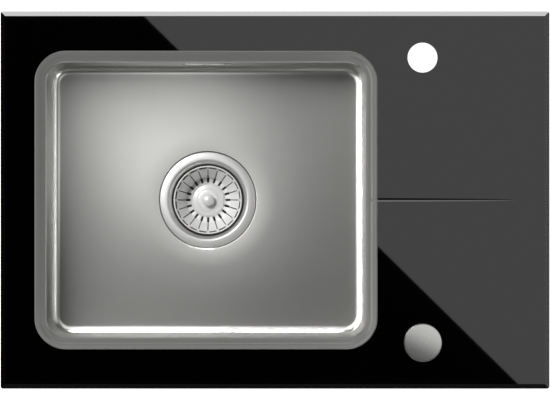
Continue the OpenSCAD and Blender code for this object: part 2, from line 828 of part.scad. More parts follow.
// Flat crank that hangs from the shaft, with a long eye for the end of the core
module crank() difference() {
    union() {
        translate([0, -crank_w / 2, -crank_l]) cube([crank_t, crank_w, crank_l]);
        rod_x(crank_hub_r, 0, crank_t);
        translate([0, 0, -crank_l]) rod_x(crank_end_r, 0, crank_t);
    }
    for (dz = [-1, 1]) translate([0, 0, -crank_l + dz * eye_slack]) rod_x(eye_r, -eps, crank_t + eps);
    translate([-eps, -eye_r, -crank_l - eye_slack]) cube([crank_t + 2 * eps, 2 * eye_r, 2 * eye_slack]);
}

module lever_seal() color([0.06, 0.06, 0.06]) translate([bowl_x, lever_y, lever_z]) difference() {
    rod_x(port_r - port_seal_gap, port_x, port_x + port_seal_t);
    rod_x(lever_r + run_gap, port_x - eps, port_x + port_seal_t + eps);
}

module port_cap() color([0.88, 0.88, 0.86]) translate([bowl_x, lever_y, lever_z]) difference() {
    rod_x(port_r + port_cap_wall, port_x - port_cap_in, port_x + port_seal_t + port_cap_t);
    rod_x(port_r + port_fit, port_x - port_cap_in - eps, port_x + port_seal_t);
    rod_x(lever_r + slip_gap, port_x, port_x + port_seal_t + port_cap_t + eps);
}

/* Remote control */

module control_knob() color([0.66, 0.66, 0.64]) translate([knob_x, knob_y, 0]) difference() {
    union() {
        rotate_extrude() polygon([
            [0, knob_z0],
            [knob_r - knob_chamfer, knob_z0],
            [knob_r, knob_z0 + knob_chamfer],
            [knob_r, knob_z1 - knob_dome_h - knob_bevel_h],
            [knob_r - knob_bevel_w, knob_z1 - knob_dome_h],
            [0, knob_z1 - knob_dome_h]
        ]);
        intersection() {
            translate([0, 0, knob_z1 - knob_dome_r]) sphere(r = knob_dome_r);
            translate([0, 0, knob_z1 - 2 * knob_dome_h])
                cylinder(r = knob_r - knob_bevel_w, h = 3 * knob_dome_h);
        }
    }
    translate([0, 0, knob_z0 - eps]) cylinder(r = spindle_r, h = spindle_z1 - knob_z0 + eps);
    ring(spindle_r + knob_hub_w, knob_r - knob_rim_w, knob_z0 - eps, knob_z1 - knob_top_t);
    translate([0, 0, knob_z0 + set_screw_up]) rotate(180) rod_x(set_screw_r, 0, knob_r + eps);
}

module knob_set_screw() color([0.3, 0.3, 0.3])
    translate([knob_x, knob_y, knob_z0 + set_screw_up]) rotate(180) difference() {
        rod_x(set_screw_r, spindle_r, spindle_r + set_screw_l);
        translate([spindle_r + set_screw_l - set_key_depth, 0, 0])
            rotate([0, 90, 0]) cylinder(r = set_key_r, h = set_key_depth + eps, $fn = 6);
    }

module knob_spindle() color([0.7, 0.65, 0.4]) translate([knob_x, knob_y, 0]) difference() {
    union() {
        translate([0, 0, spindle_z0]) cylinder(r = spindle_r, h = spindle_z1 - spindle_z0);
        translate([0, 0, spindle_z0]) cylinder(r = slider_r, h = bush_z0 - 1 - spindle_z0);
    }
    translate([0, 0, spindle_z0 - eps]) cylinder(r = follower_r + run_gap, h = follower_h + 2 * eps);
}

module control_bush() color([0.8, 0.8, 0.8]) translate([knob_x, knob_y, 0]) difference() {
    union() {
        translate([0, 0, bush_flange_z]) cylinder(r = bush_flange_r, h = bush_flange_t);
        translate([0, 0, bush_z0]) cylinder(r = bush_r, h = bush_flange_z - bush_z0);
    }
    translate([0, 0, bush_z0 - eps]) cylinder(r = spindle_r + run_gap, h = knob_z0 - bush_z0 + 2 * eps);
}

module bush_washer_top() color([0.06, 0.06, 0.06]) translate([knob_x, knob_y, 0])
    ring(bush_r + slip_gap, bush_flange_r - slip_gap, glass_z1, glass_z1 + washer_top_t);

module bush_washer_bottom() color([0.06, 0.06, 0.06]) translate([knob_x, knob_y, 0])
    ring(bush_r + slip_gap, nut_r, glass_z0 - washer_bottom_t, glass_z0);

module control_nut() color([0.12, 0.12, 0.12]) translate([knob_x, knob_y, 0]) {
    z1 = glass_z0 - washer_bottom_t;
    ring(bush_r + thread_fit, nut_r, z1 - nut_flange_t, z1);
    difference() {
        translate([0, 0, z1 - nut_t]) cylinder(r = nut_hex_r, h = nut_t - nut_flange_t / 2, $fn = 6);
        translate([0, 0, z1 - nut_t - eps]) cylinder(r = bush_r + thread_fit, h = nut_t + 2 * eps);
    }
}

// Tube that screws on the bush and guides the cable's slider
module cable_box() color([0.12, 0.12, 0.12]) translate([knob_x, knob_y, 0]) difference() {
    translate([0, 0, box_z0]) cylinder(r = box_r, h = bush_z0 + thread_l - box_z0);
    translate([0, 0, bush_z0]) cylinder(r = bush_r + thread_fit, h = thread_l + eps);
    translate([0, 0, box_z0 + box_floor_t]) cylinder(r = slider_r + slip_gap, h = bush_z0 - box_z0);
    translate([0, 0, box_z0 - eps]) cylinder(r = ferrule_r + run_gap, h = box_floor_t + 2 * eps);
}

// Block that the turning spindle draws up by its follower, with the end of the core
module cable_slider() color([0.85, 0.8, 0.5]) translate([knob_x, knob_y, 0]) {
    translate([0, 0, slider_z0]) cylinder(r = slider_r, h = slider_h);
    translate([0, 0, slider_z0]) cylinder(r = follower_r, h = slider_h + follower_h);
    translate([0, 0, upper_ferrule_z + 2]) cylinder(r = core_r, h = slider_z0 - upper_ferrule_z);
}

// End piece of the sheath, along +Z, with a collar that bears on its seat
module ferrule(collar_z) difference() {
    union() {
        cylinder(r = ferrule_r, h = ferrule_l);
        translate([0, 0, collar_z - collar_t]) cylinder(r = ferrule_r + collar_w, h = collar_t);
    }
    translate([0, 0, -eps]) cylinder(r = ferrule_bore_r, h = ferrule_l + 2 * eps);
}

module cable_ferrules() color([0.7, 0.7, 0.7]) {
    translate([knob_x, knob_y, upper_ferrule_z]) ferrule(box_z0 - upper_ferrule_z);
    translate([bowl_x + cable_x, sheath_in, cable_z]) rotate([-90, 0, 0]) ferrule(lower_collar);
}

// Sheath of the control cable, swept along its route
module cable_sheath() color([0.1, 0.1, 0.1]) {
    p = track(SHEATH, sheath_steps);
    n = len(p);
    points = [
        for (i = [0:n - 1])
            let (d = i == 0 ? [0, 0, -1] : i == n - 1 ? [0, 1, 0] : heading(p, i))
                each ring_at(p[i], d, [1, 0.4, 0.1], sheath_r, sheath_sides)
    ];
    polyhedron(points, concat(
        [for (f = ring_faces(n, sheath_sides)) [f[2], f[1], f[0]]],
        fan(0, sheath_sides, true),
        fan((n - 1) * sheath_sides, sheath_sides, false)
    ));
}

// End of the core, bent through the crank's eye
module cable_core_end() color([0.75, 0.75, 0.75]) translate([bowl_x, 0, cable_z]) {
    eye_y = lever_y + pull_l / 2;
    translate([cable_x, 0, 0]) rod_y(core_r, bracket_y + bracket_t - 2, eye_y);
    translate([0, eye_y, 0]) rod_x(pin_end_r, crank_x - crank_t / 2 - 1.5, cable_x + pin_end_r);
}

/* Overflow */

// Frame on the bowl's back wall: +Y leaves the bowl square to the wall, and y = 0 is its inner face
module over_frame() translate([0, wall_y, over_centre_z]) rotate([-lean_angle, 0, 0]) children();

// Slot with round ends, centred
module slot_2d(l, h) {
    square([l - h, h], center = true);
    for (sx = [-1, 1]) translate([sx * (l - h) / 2, 0]) circle(d = h);
}

// Slot-shaped plate in the overflow's frame, between two depths
module over_plate(l, h, y0, y1)
    translate([0, y0, 0]) rotate([-90, 0, 0]) linear_extrude(y1 - y0) slot_2d(l, h);

module overflow_cover() color([0.8, 0.8, 0.8]) translate([bowl_x, 0, 0]) over_frame() difference() {
    over_plate(over_l + 2 * cover_margin, over_h + 2 * cover_margin, -cover_t, 0);
    for (sx = [-1, 1]) translate([sx * over_l / 4, 0, 0])
        over_plate(over_l / 2 - cover_bar_w, over_h - 2 * cover_land, -cover_t - eps, eps);
    rod_y(over_screw_hole_r, -cover_t - eps, eps);
}

module overflow_screw() color([0.75, 0.75, 0.75]) translate([bowl_x, 0, 0]) over_frame() difference() {
    union() {
        rod_y(over_screw_r, -cover_t, over_screw_l);
        rod_y(over_head_r, -cover_t - over_head_t, -cover_t);
    }
    translate([0, -cover_t - over_head_t, 0])
        cube([2 * over_screw_hole_r, over_head_t, over_cut_w], center = true);
}

module overflow_seal() color([0.08, 0.08, 0.08]) translate([bowl_x, 0, 0]) over_frame() difference() {
    over_land(sheet_t, over_seal_t);
    land = 2 * over_seal_land;
    over_plate(over_l + land, over_h + land, sheet_t - eps, sheet_t + over_seal_t + eps);
}

// Outline that the seal and the elbow's flange share, from depth y0
module over_land(y0, t) over_plate(over_l + 2 * over_seal_side, over_h + 2 * over_seal_top, y0, y0 + t);

module overflow_elbow() color([0.9, 0.9, 0.88]) translate([bowl_x, 0, 0]) {
    y0 = sheet_t + over_seal_t;
    difference() {
        union() {
            over_frame() over_land(y0, elbow_t);
            over_frame() over_plate(over_l + 2 * elbow_side, over_h + 2 * elbow_top, y0, y0 + elbow_d);
            translate([0, spigot_y, hose_z1 - hose_in]) cylinder(r = spigot_r, h = spigot_l + elbow_neck_l);
        }
        over_frame() difference() {
            over_plate(over_l + elbow_top, over_h + elbow_t, y0 - eps, y0 + elbow_d - elbow_t);
            rod_y(elbow_pillar_r, y0 - eps, y0 + elbow_d);
        }
        over_frame() rod_y(over_screw_r + thread_fit, y0 - eps, over_screw_l + eps);
        translate([0, spigot_y, hose_z1 - hose_in - eps])
            cylinder(r = spigot_bore_r, h = spigot_l + elbow_neck_l - elbow_roof_t);
    }
}

// Centreline of the hose: down, round one bend and along to the housing
hose_down = hose_z1 - (branch_z + hose_bend_r);
hose_turn = hose_bend_r * PI / 2;
hose_along = spigot_y - hose_bend_r - hose_y0;
hose_len = hose_down + hose_turn + hose_along;
function hose_point(s) =
    s < hose_down ? [0, spigot_y, hose_z1 - s] :
    s < hose_down + hose_turn ?
        let (a = (s - hose_down) / hose_bend_r * 180 / PI)
        [0, spigot_y - hose_bend_r * (1 - cos(a)), branch_z + hose_bend_r * (1 - sin(a))] :
    [0, spigot_y - hose_bend_r - (s - hose_down - hose_turn), branch_z];
function hose_heading(s) =
    let (a = min(max((s - hose_down) / hose_bend_r * 180 / PI, 0), 90))
    [0, -sin(a), -cos(a)];
function hose_ring(s, r) =
    ring_at(hose_point(s), hose_heading(s), [1, 0, 0], r / cos(180 / hose_sides), hose_sides);

// Ribbed hose with its bore
module overflow_hose() color([0.85, 0.85, 0.85]) translate([bowl_x, 0, 0]) {
    pitch = (hose_len - 2 * cuff_l) / rib_count;
    outer = [
        [0, cuff_r],
        [cuff_l - cuff_end, cuff_r],
        for (k = [0:rib_count - 1]) each [
            [cuff_l + pitch * (k + 0.25), hose_r],
            [cuff_l + pitch * (k + 0.75), rib_valley_r]
        ],
        [hose_len - cuff_l + cuff_end, cuff_r],
        [hose_len, cuff_r]
    ];
    inner_steps = 24;
    inner = [for (k = [inner_steps:-1:0]) [hose_len * k / inner_steps, hose_bore_r]];
    rings = concat(outer, inner);
    n = len(rings);
    points = [for (q = rings) each hose_ring(q[0], q[1])];
    wrap = [for (j = [0:hose_sides - 1])
        let (a = (n - 1) * hose_sides + j, b = (n - 1) * hose_sides + (j + 1) % hose_sides)
            each [[a, b, j], [b, (j + 1) % hose_sides, j]]];
    polyhedron(points, [for (f = concat(ring_faces(n, hose_sides), wrap)) [f[2], f[1], f[0]]]);
}

// Band round the hose along +Z, with its screw block
module hose_clip() {
    band_r = cuff_r / cos(180 / hose_sides) + 0.05;
    difference() {
        union() {
            cylinder(r = band_r + clip_band_t, h = clip_band_w);
            translate([-clip_band_w / 2, band_r, 0]) cube([clip_band_w, clip_block_h, clip_band_w]);
        }
        translate([0, 0, -eps]) cylinder(r = band_r, h = clip_band_w + 2 * eps);
    }
}

module hose_clips() color([0.75, 0.75, 0.75]) translate([bowl_x, 0, 0]) {
    translate([0, spigot_y, hose_z1 - hose_in + clip_at_elbow]) hose_clip();
    translate([0, hose_y0 + clip_at_housing, branch_z]) rotate([-90, 0, 0]) rotate(180) hose_clip();
}

/* Clips */

module stud_plates() color([0.75, 0.75, 0.76]) for (c = CLIPS) translate([c[0] * clip_x, c[1] * clip_y, 0]) {
    round_slab(stud_plate_l, stud_plate_w, stud_plate_r, glass_z0 - stud_plate_t, glass_z0);
    translate([0, 0, stud_z0]) cylinder(r = stud_r, h = stud_l - stud_plate_t);
}

module clip_nut(i) color([0.78, 0.76, 0.6]) translate([CLIPS[i][0] * clip_x, CLIPS[i][1] * clip_y, hex_z0])
    difference() {
        cylinder(r = hex_r, h = hex_t, $fn = 6);
        translate([0, 0, -eps]) cylinder(r = stud_r + run_gap, h = hex_t + 2 * eps);
    }

// Foot of a clip, parked along the plate's edge with its tip away from the bowl's middle
module clip_foot(i) color([0.78, 0.78, 0.8])
    translate([CLIPS[i][0] * clip_x, CLIPS[i][1] * clip_y, foot_z0]) rotate(CLIPS[i][0] > 0 ? 0 : 180)
        difference() {
            union() {
                cylinder(r = foot_w / 2, h = foot_t);
                translate([0, -foot_w / 2, 0]) cube([foot_l, foot_w, foot_t]);
                translate([foot_l - foot_t, -foot_w / 2, 0]) cube([foot_t, foot_w, foot_t + tip_h]);
            }
            translate([0, 0, -eps]) cylinder(r = stud_r + slip_gap, h = foot_t + 2 * eps);
            for (dy = [-1, 1])
                translate([foot_l - foot_t - eps, dy * foot_w / 4 - tooth_w / 2, foot_t + tip_h - tooth_h])
                    cube([foot_t + 2 * eps, tooth_w, tooth_h + eps]);
        }

glass_plate();
foam_seal();
bowl();
rim_bond();
sound_pads();
flange_seal();
strainer_cup();
body_seal();
waste_housing();
clamp_screw();
basket();
basket_button();
basket_stem();
basket_plug();
lift_pin();
lift_lever();
lever_seal();
port_cap();
control_knob();
knob_set_screw();
knob_spindle();
control_bush();
bush_washer_top();
bush_washer_bottom();
control_nut();
cable_box();
cable_slider();
cable_ferrules();
cable_sheath();
cable_core_end();
overflow_cover();
overflow_screw();
overflow_seal();
overflow_elbow();
overflow_hose();
hose_clips();
stud_plates();
clip_nut(0);  // clip_nut_1
clip_nut(1);  // clip_nut_2
clip_nut(2);  // clip_nut_3
clip_nut(3);  // clip_nut_4
clip_foot(0);  // clip_foot_1
clip_foot(1);  // clip_foot_2
clip_foot(2);  // clip_foot_3
clip_foot(3);  // clip_foot_4
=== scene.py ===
# %% [markdown]
# # A glass-topped kitchen sink
# A black glass plate with a ground facet carries one pressed steel bowl. A turning knob lifts the basket
# in the waste through a cable, and four clips under the plate hold it to the worktop. The CAD frame gives
# the true sizes and the moving bodies. This lesson dresses that frame: each step names the real piece,
# says how it could be made in Blender, and why one way was chosen.

# %% Load the frame
import json
import math
import bmesh
import bpy
import numpy as np
from mathutils import Matrix, Vector

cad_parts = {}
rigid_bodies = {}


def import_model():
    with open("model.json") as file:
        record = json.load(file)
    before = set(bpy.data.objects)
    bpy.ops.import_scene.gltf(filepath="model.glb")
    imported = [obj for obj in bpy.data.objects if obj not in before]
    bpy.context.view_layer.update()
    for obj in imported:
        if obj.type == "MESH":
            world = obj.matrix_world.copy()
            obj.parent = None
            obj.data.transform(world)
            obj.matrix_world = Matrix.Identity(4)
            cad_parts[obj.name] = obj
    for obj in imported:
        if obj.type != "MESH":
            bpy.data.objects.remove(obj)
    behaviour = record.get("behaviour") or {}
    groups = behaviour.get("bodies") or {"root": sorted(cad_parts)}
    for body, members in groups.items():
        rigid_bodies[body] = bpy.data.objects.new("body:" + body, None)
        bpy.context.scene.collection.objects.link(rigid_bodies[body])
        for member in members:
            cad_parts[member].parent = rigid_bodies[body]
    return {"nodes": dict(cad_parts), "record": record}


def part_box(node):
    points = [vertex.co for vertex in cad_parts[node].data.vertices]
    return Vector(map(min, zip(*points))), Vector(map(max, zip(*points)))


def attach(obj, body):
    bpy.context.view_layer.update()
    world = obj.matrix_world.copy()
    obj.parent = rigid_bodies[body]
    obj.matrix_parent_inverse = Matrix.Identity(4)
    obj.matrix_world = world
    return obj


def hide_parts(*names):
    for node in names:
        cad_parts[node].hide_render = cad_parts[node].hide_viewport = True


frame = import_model()
bpy.context.view_layer.update()
record = frame["record"]
HOME = {node: body for body, nodes in record["behaviour"]["bodies"].items() for node in nodes}
FINISH = {part["node"]: part["material_slot"] for part in record["subparts"]}
MM = 0.001
print("nodes", len(HOME), "finishes", len(set(FINISH.values())))

# %% [markdown]
# ## The camera
# The photograph looks straight down with a long lens, so the plate shows no vanishing lines and the bowl's
# walls show only a few millimetres. A camera 5.8 m up with a long lens gives the same small spread.

# %% Camera
CAMERA_HEIGHT = 5.84
LENS = 327.4
camera = bpy.data.objects.new("camera", bpy.data.cameras.new("camera"))
camera.data.lens = LENS
camera.data.sensor_width = 36
camera.data.clip_end = 100
camera.location = (0, 0, CAMERA_HEIGHT)
bpy.context.scene.collection.objects.link(camera)
bpy.context.scene.camera = camera
bpy.context.scene.view_settings.view_transform = "Standard"
print("frame width at the plate, mm:", round(36 / LENS * (CAMERA_HEIGHT - 0.01) * 1000, 1))

# %% [markdown]
# ## Sizes of the pressed and turned pieces
# These repeat the CAD values in millimetres, because the curved pieces are made afresh from formulas.

# %% Sizes
BOWL_X = -80.5
RIM = (200.0, 174.0, 36.0)
GLASS_TOP = 10.0
LIP_Z, LEDGE_Z, ROLL_Z, FOOT_Z, FLOOR_Z = 11.5, 10.0, 7.0, -140.8, -150.0
U_LIP, U_STEP, U_LEDGE, U_WALL, U_FOOT, U_FLOOR = 6.0, 8.0, 11.0, 14.0, 14.8, 24.0
DISH_R, SEAT_R, HOLE_R = 100.0, 57.8, 48.2
THROAT_Z = -153.5
WASTE = (BOWL_X, 0.0)
KNOB = (172.0, -166.0)
print("bowl floor lies", GLASS_TOP - FLOOR_Z, "mm under the glass")

# %% [markdown]
# ## Node groups
# Every finish uses a fine grain or the rings left by turning, and a slow mottling. Each is a group with named
# sockets that puts out a mask, and the grain and the rings a height too, so one recipe serves every material.

# %% Group maker
def new_group(name, inputs, outputs):
    """An empty shader node group. inputs and outputs are lists of (name, socket type, default)."""
    group = bpy.data.node_groups.new(name, "ShaderNodeTree")
    for sockets, way in ((inputs, "INPUT"), (outputs, "OUTPUT")):
        for label, kind, default in sockets:
            socket = group.interface.new_socket(label, in_out=way, socket_type="NodeSocket" + kind)
            if default is not None:
                socket.default_value = default
    return group, group.nodes.new("NodeGroupInput"), group.nodes.new("NodeGroupOutput")


def add(tree, kind, inputs=None, **settings):
    """A node with its settings, and its inputs set to values or joined to sockets."""
    node = tree.nodes.new("ShaderNode" + kind)
    for key, value in settings.items():
        setattr(node, key, value)
    for key, value in (inputs or {}).items():
        if isinstance(value, bpy.types.NodeSocket):
            tree.links.new(value, node.inputs[key])
        else:
            node.inputs[key].default_value = value
    return node


# %% Grain group
def make_grain():
    """Fine even grain: noise at Scale, sharpened about its middle. Mask and Height run from 0 to 1."""
    group, given, out = new_group(
        "fine_grain",
        [("Vector", "Vector", None), ("Scale", "Float", 400.0), ("Detail", "Float", 4.0)],
        [("Mask", "Float", None), ("Height", "Float", None)])
    noise = add(group, "TexNoise", {"Vector": given.outputs["Vector"], "Scale": given.outputs["Scale"],
                                    "Detail": given.outputs["Detail"], "Roughness": 0.6})
    ramp = add(group, "MapRange", {"Value": noise.outputs["Fac"], "From Min": 0.3, "From Max": 0.7})
    group.links.new(ramp.outputs["Result"], out.inputs["Mask"])
    group.links.new(noise.outputs["Fac"], out.inputs["Height"])
    return group


GRAIN = make_grain()
print("group", GRAIN.name)

# %% Mottle group
def make_mottle():
    """Slow patches: low noise plus a quarter of a noise eight times finer, as handling leaves on metal."""
    group, given, out = new_group(
        "slow_mottle",
        [("Vector", "Vector", None), ("Scale", "Float", 12.0)],
        [("Mask", "Float", None)])
    low = add(group, "TexNoise", {"Vector": given.outputs["Vector"], "Scale": given.outputs["Scale"],
                                  "Detail": 2.0})
    finer = add(group, "Math", {0: given.outputs["Scale"], 1: 8.0}, operation="MULTIPLY")
    high = add(group, "TexNoise", {"Vector": given.outputs["Vector"], "Scale": finer.outputs[0],
                                   "Detail": 3.0})
    both = add(group, "Math", {0: high.outputs["Fac"], 1: 0.25, 2: low.outputs["Fac"]},
               operation="MULTIPLY_ADD")
    ramp = add(group, "MapRange", {"Value": both.outputs[0], "From Min": 0.4, "From Max": 0.85})
    group.links.new(ramp.outputs["Result"], out.inputs["Mask"])
    return group


MOTTLE = make_mottle()
print("group", MOTTLE.name)

# %% Turned group
def make_turned():
    """Rings left by turning: noise of the distance from the Z axis alone, so it is the same all round."""
    group, given, out = new_group(
        "turned_rings",
        [("Vector", "Vector", None), ("Scale", "Float", 900.0)],
        [("Mask", "Float", None), ("Height", "Float", None)])
    flat = add(group, "VectorMath", {0: given.outputs["Vector"], 1: (1, 1, 0)}, operation="MULTIPLY")
    radius = add(group, "VectorMath", {0: flat.outputs[0]}, operation="LENGTH")
    noise = add(group, "TexNoise", {"W": radius.outputs["Value"], "Scale": given.outputs["Scale"],
                                    "Detail": 3.0}, noise_dimensions="1D")
    ramp = add(group, "MapRange", {"Value": noise.outputs["Fac"], "From Min": 0.35, "From Max": 0.65})
    group.links.new(ramp.outputs["Result"], out.inputs["Mask"])
    group.links.new(noise.outputs["Fac"], out.inputs["Height"])
    return group


TURNED = make_turned()
print("group", TURNED.name)

# %% [markdown]
# ## Finishes
# One function builds every material: a base colour that the mottling shifts, a roughness that the grain
# shifts, and a shallow bump. The numbers that are the same all over are written on the shader itself. The
# photograph shows the bowl's walls and the strainer's throat in deeper shade than the floor, so that shade is
# painted into the base colour of those two steels, by height. This painted shade stays on the piece from
# every side.

# %% Material maker
def finish(name, colour, rough, metal=0.0, spread=0.1, rough_spread=0.05, grain=400.0, stretch=(1, 1, 1),
           centre=(0, 0, 0), bump=0.1, depth=0.0001, turned=False, mottle=12.0, **shader):
    """Procedural material. Base colour runs from colour * (1 - spread) to colour * (1 + spread) with the
    mottle mask, roughness from rough - rough_spread to rough + rough_spread with the grain mask, and the
    grain's height is a bump. The grain reads (point - centre) * stretch, with centre in mm."""
    material = bpy.data.materials.new(name)
    material.use_nodes = True
    tree = material.node_tree
    tree.nodes.clear()
    out = add(tree, "OutputMaterial")
    place = add(tree, "TexCoord")
    shift = [-c * s * MM for c, s in zip(centre, stretch)]
    moved = add(tree, "Mapping", {"Vector": place.outputs["Object"], "Location": shift, "Scale": stretch})
    fine = add(tree, "Group", node_tree=TURNED if turned else GRAIN)
    tree.links.new(moved.outputs[0], fine.inputs["Vector"])
    fine.inputs["Scale"].default_value = grain
    slow = add(tree, "Group", node_tree=MOTTLE)
    tree.links.new(place.outputs["Object"], slow.inputs["Vector"])
    slow.inputs["Scale"].default_value = mottle
    tint = add(tree, "MixRGB", {"Fac": slow.outputs["Mask"],
                                "Color1": [c * (1 - spread) for c in colour] + [1],
                                "Color2": [min(c * (1 + spread), 1) for c in colour] + [1]})
    gloss = add(tree, "MapRange", {"Value": fine.outputs["Mask"], "To Min": rough - rough_spread,
                                   "To Max": rough + rough_spread})
    relief = add(tree, "Bump", {"Height": fine.outputs["Height"], "Strength": bump, "Distance": depth})
    bsdf = add(tree, "BsdfPrincipled", {"Base Color": tint.outputs[0], "Roughness": gloss.outputs[0],
                                        "Metallic": metal, "Normal": relief.outputs[0]})
    for key, value in shader.items():
        bsdf.inputs[key.replace("_", " ")].default_value = value
    tree.links.new(bsdf.outputs[0], out.inputs["Surface"])
    return material


# %% Materials
BLACK_GLASS = finish("black_glass", (0.0006, 0.0006, 0.0007), 0.02, spread=0.1, rough_spread=0.005, bump=0.0,
                     IOR=1.5)
# Finishes for the drain groove's flanks: groove_shade is painted shade, black and hardly reflecting;
# groove_shine mirrors more strongly than the glass, to brighten the other flank.
GROOVE_SHINE = finish("groove_shine", (0.003, 0.003, 0.003), 0.1, rough_spread=0.02, bump=0.0, IOR=1.85)
GROOVE_SHADE = finish("groove_shade", (0.0006, 0.0006, 0.0006), 0.6, Specular_IOR_Level=0.05)
FACET_GLASS = finish("polished_facet", (0.004, 0.0045, 0.0045), 0.07, spread=0.2, rough_spread=0.02,
                     grain=900, bump=0.02, IOR=2.2)
LOOKS = {
    "bowl_steel": finish("bowl_steel", (0.64, 0.64, 0.62), 0.31, 1.0, 0.02, 0.0, 900, bump=0.0),
    # Same as bowl_steel, with painted shade on the bowl's walls added below.
    "pan_steel": finish("pan_steel", (0.64, 0.64, 0.62), 0.31, 1.0, 0.02, 0.0, 900, bump=0.0),
    "bright_steel": finish("bright_steel", (0.74, 0.74, 0.73), 0.2, 1.0, 0.02, 0.03, 700, bump=0.03,
                           centre=(*WASTE, 0), turned=True, depth=0.00003),
    "flange_steel": finish("flange_steel", (0.74, 0.74, 0.73), 0.46, 0.8, 0.02, 0.03, 900, bump=0.02,
                           depth=0.00003),
    "strainer_steel": finish("strainer_steel", (0.78, 0.78, 0.77), 0.42, 0.25, 0.02, 0.03, 900, bump=0.02,
                             depth=0.00003),
    "satin_steel": finish("satin_steel", (0.62, 0.62, 0.6), 0.3, 1.0, 0.02, 0.03, 1500, bump=0.006,
                          centre=(*KNOB, 0), turned=True, depth=0.00003),
    "screw_steel": finish("screw_steel", (0.5, 0.5, 0.5), 0.35, 1.0, 0.06, 0.06, 1200, bump=0.1),
    "zinc_steel": finish("zinc_steel", (0.62, 0.63, 0.65), 0.38, 1.0, 0.12, 0.08, 260, bump=0.12, mottle=60),
    "brass": finish("brass", (0.62, 0.46, 0.2), 0.32, 1.0, 0.08, 0.06, 1200, bump=0.08, mottle=50),
    "white_plastic": finish("white_plastic", (0.78, 0.78, 0.76), 0.42, spread=0.03, grain=1400, bump=0.12),
    "grey_hose": finish("grey_hose", (0.62, 0.63, 0.64), 0.45, spread=0.05, grain=900, bump=0.1),
    "black_plastic": finish("black_plastic", (0.022, 0.022, 0.023), 0.45, spread=0.15, grain=1400, bump=0.15),
    "black_seal": finish("black_seal", (0.018, 0.018, 0.018), 0.6, spread=0.2, grain=900, bump=0.2),
    "adhesive": finish("adhesive", (0.02, 0.02, 0.02), 0.5, spread=0.2, grain=300, bump=0.3),
    "clear_seal": finish("clear_seal", (0.66, 0.66, 0.62), 0.4, spread=0.05, grain=700, bump=0.1,
                         Subsurface_Weight=0.3, Subsurface_Scale=0.002),
    "foam": finish("foam", (0.045, 0.045, 0.048), 0.85, spread=0.25, rough_spread=0.1, grain=1800, bump=0.8,
                   depth=0.0004, mottle=80),
    "damping_pad": finish("damping_pad", (0.035, 0.035, 0.037), 0.75, spread=0.3, rough_spread=0.1, grain=500,
                          bump=0.6, depth=0.0004, mottle=60),
    "black_glass": BLACK_GLASS,
}


def paint_shade_by_height(material, low, high, factor):
    """Paints shade into a material: multiplies the base colour by a factor that runs from 1 at height low to
    factor at height high.
    """
    tree = material.node_tree
    bsdf = tree.nodes["Principled BSDF"]
    place = add(tree, "TexCoord")
    axes = add(tree, "SeparateXYZ", {0: place.outputs["Object"]})
    shade = add(tree, "MapRange", {"Value": axes.outputs["Z"], "From Min": low * MM, "From Max": high * MM,
                                   "To Min": 1.0, "To Max": factor})
    grey = add(tree, "CombineXYZ", {0: shade.outputs[0], 1: shade.outputs[0], 2: shade.outputs[0]})
    tint = add(tree, "MixRGB", {"Fac": 1.0, "Color1": bsdf.inputs["Base Color"].links[0].from_socket,
                                "Color2": grey.outputs[0]}, blend_type="MULTIPLY")
    tree.links.new(tint.outputs[0], bsdf.inputs["Base Color"])


# Painted shade: the bowl's walls, from 8 mm above the fillet upwards, at 0.7 of the floor's colour.
paint_shade_by_height(LOOKS["pan_steel"], FOOT_Z + 1, FOOT_Z + 8, 0.7)
# Painted shade: the cup below its throat, down to its floor, at 0.3 of its colour, for the shadowed gap round
# the basket and the cup's depths.
paint_shade_by_height(LOOKS["flange_steel"], THROAT_Z, THROAT_Z - 2.5, 0.3)
print("materials", len(bpy.data.materials))

# %% [markdown]
# ## Mesh helpers
# A pressed or turned surface is a grid of points: one direction runs along a profile, the other round the
# piece. The same few lines turn any such grid into quads, close it, and point its faces outwards.

# %% Grid and piece
def grid_faces(rows, cols, wrap_rows=False):
    """Quads of a grid whose columns wrap: quad (i, j) joins (i, j), (i, j+1), (i+1, j+1) and (i+1, j)."""
    i = np.arange(rows if wrap_rows else rows - 1)[:, None]
    j = np.arange(cols)[None, :]
    below, beside = (i + 1) % rows, (j + 1) % cols
    quads = [i * cols + j, i * cols + beside, below * cols + beside, below * cols + j]
    return np.stack(quads, axis=-1).reshape(-1, 4)


def merged(name, points, faces, outward=True):
    """A mesh from points in millimetres, with its doubles merged and, where it is closed, turned outwards."""
    mesh = bpy.data.meshes.new(name)
    mesh.from_pydata((np.asarray(points) * MM).tolist(), [], np.asarray(faces).tolist())
    bm = bmesh.new()
    bm.from_mesh(mesh)
    bmesh.ops.remove_doubles(bm, verts=bm.verts, dist=1e-6)
    bmesh.ops.dissolve_degenerate(bm, dist=1e-7, edges=bm.edges)
    if outward:
        bmesh.ops.recalc_face_normals(bm, faces=bm.faces)
    bm.to_mesh(mesh)
    bm.free()
    return mesh


def piece(name, points, faces, node, material=None, sharp=32, outward=True):
    """A mesh piece that stands for a CAD node, rides on that node's body and takes the node's finish."""
    return settle(name, merged(name, points, faces, outward), node, material, sharp)


def settle(name, mesh, node, material=None, sharp=32):
    """Links a finished mesh as the piece that replaces a CAD node."""
    mesh.shade_smooth()
    mesh.set_sharp_from_angle(angle=math.radians(sharp))
    obj = bpy.data.objects.new(name, mesh)
    bpy.context.scene.collection.objects.link(obj)
    mesh.materials.append(material or LOOKS[FINISH[node]])
    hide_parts(node)
    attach(obj, HOME[node])
    return obj


# %% Profiles
def arc(cx, cz, r, start, stop, steps):
    """Points on a circle: centre + r (cos a, sin a), a from start to stop in degrees."""
    a = np.radians(np.linspace(start, stop, steps + 1))
    return np.stack([cx + r * np.cos(a), cz + r * np.sin(a)], axis=1)


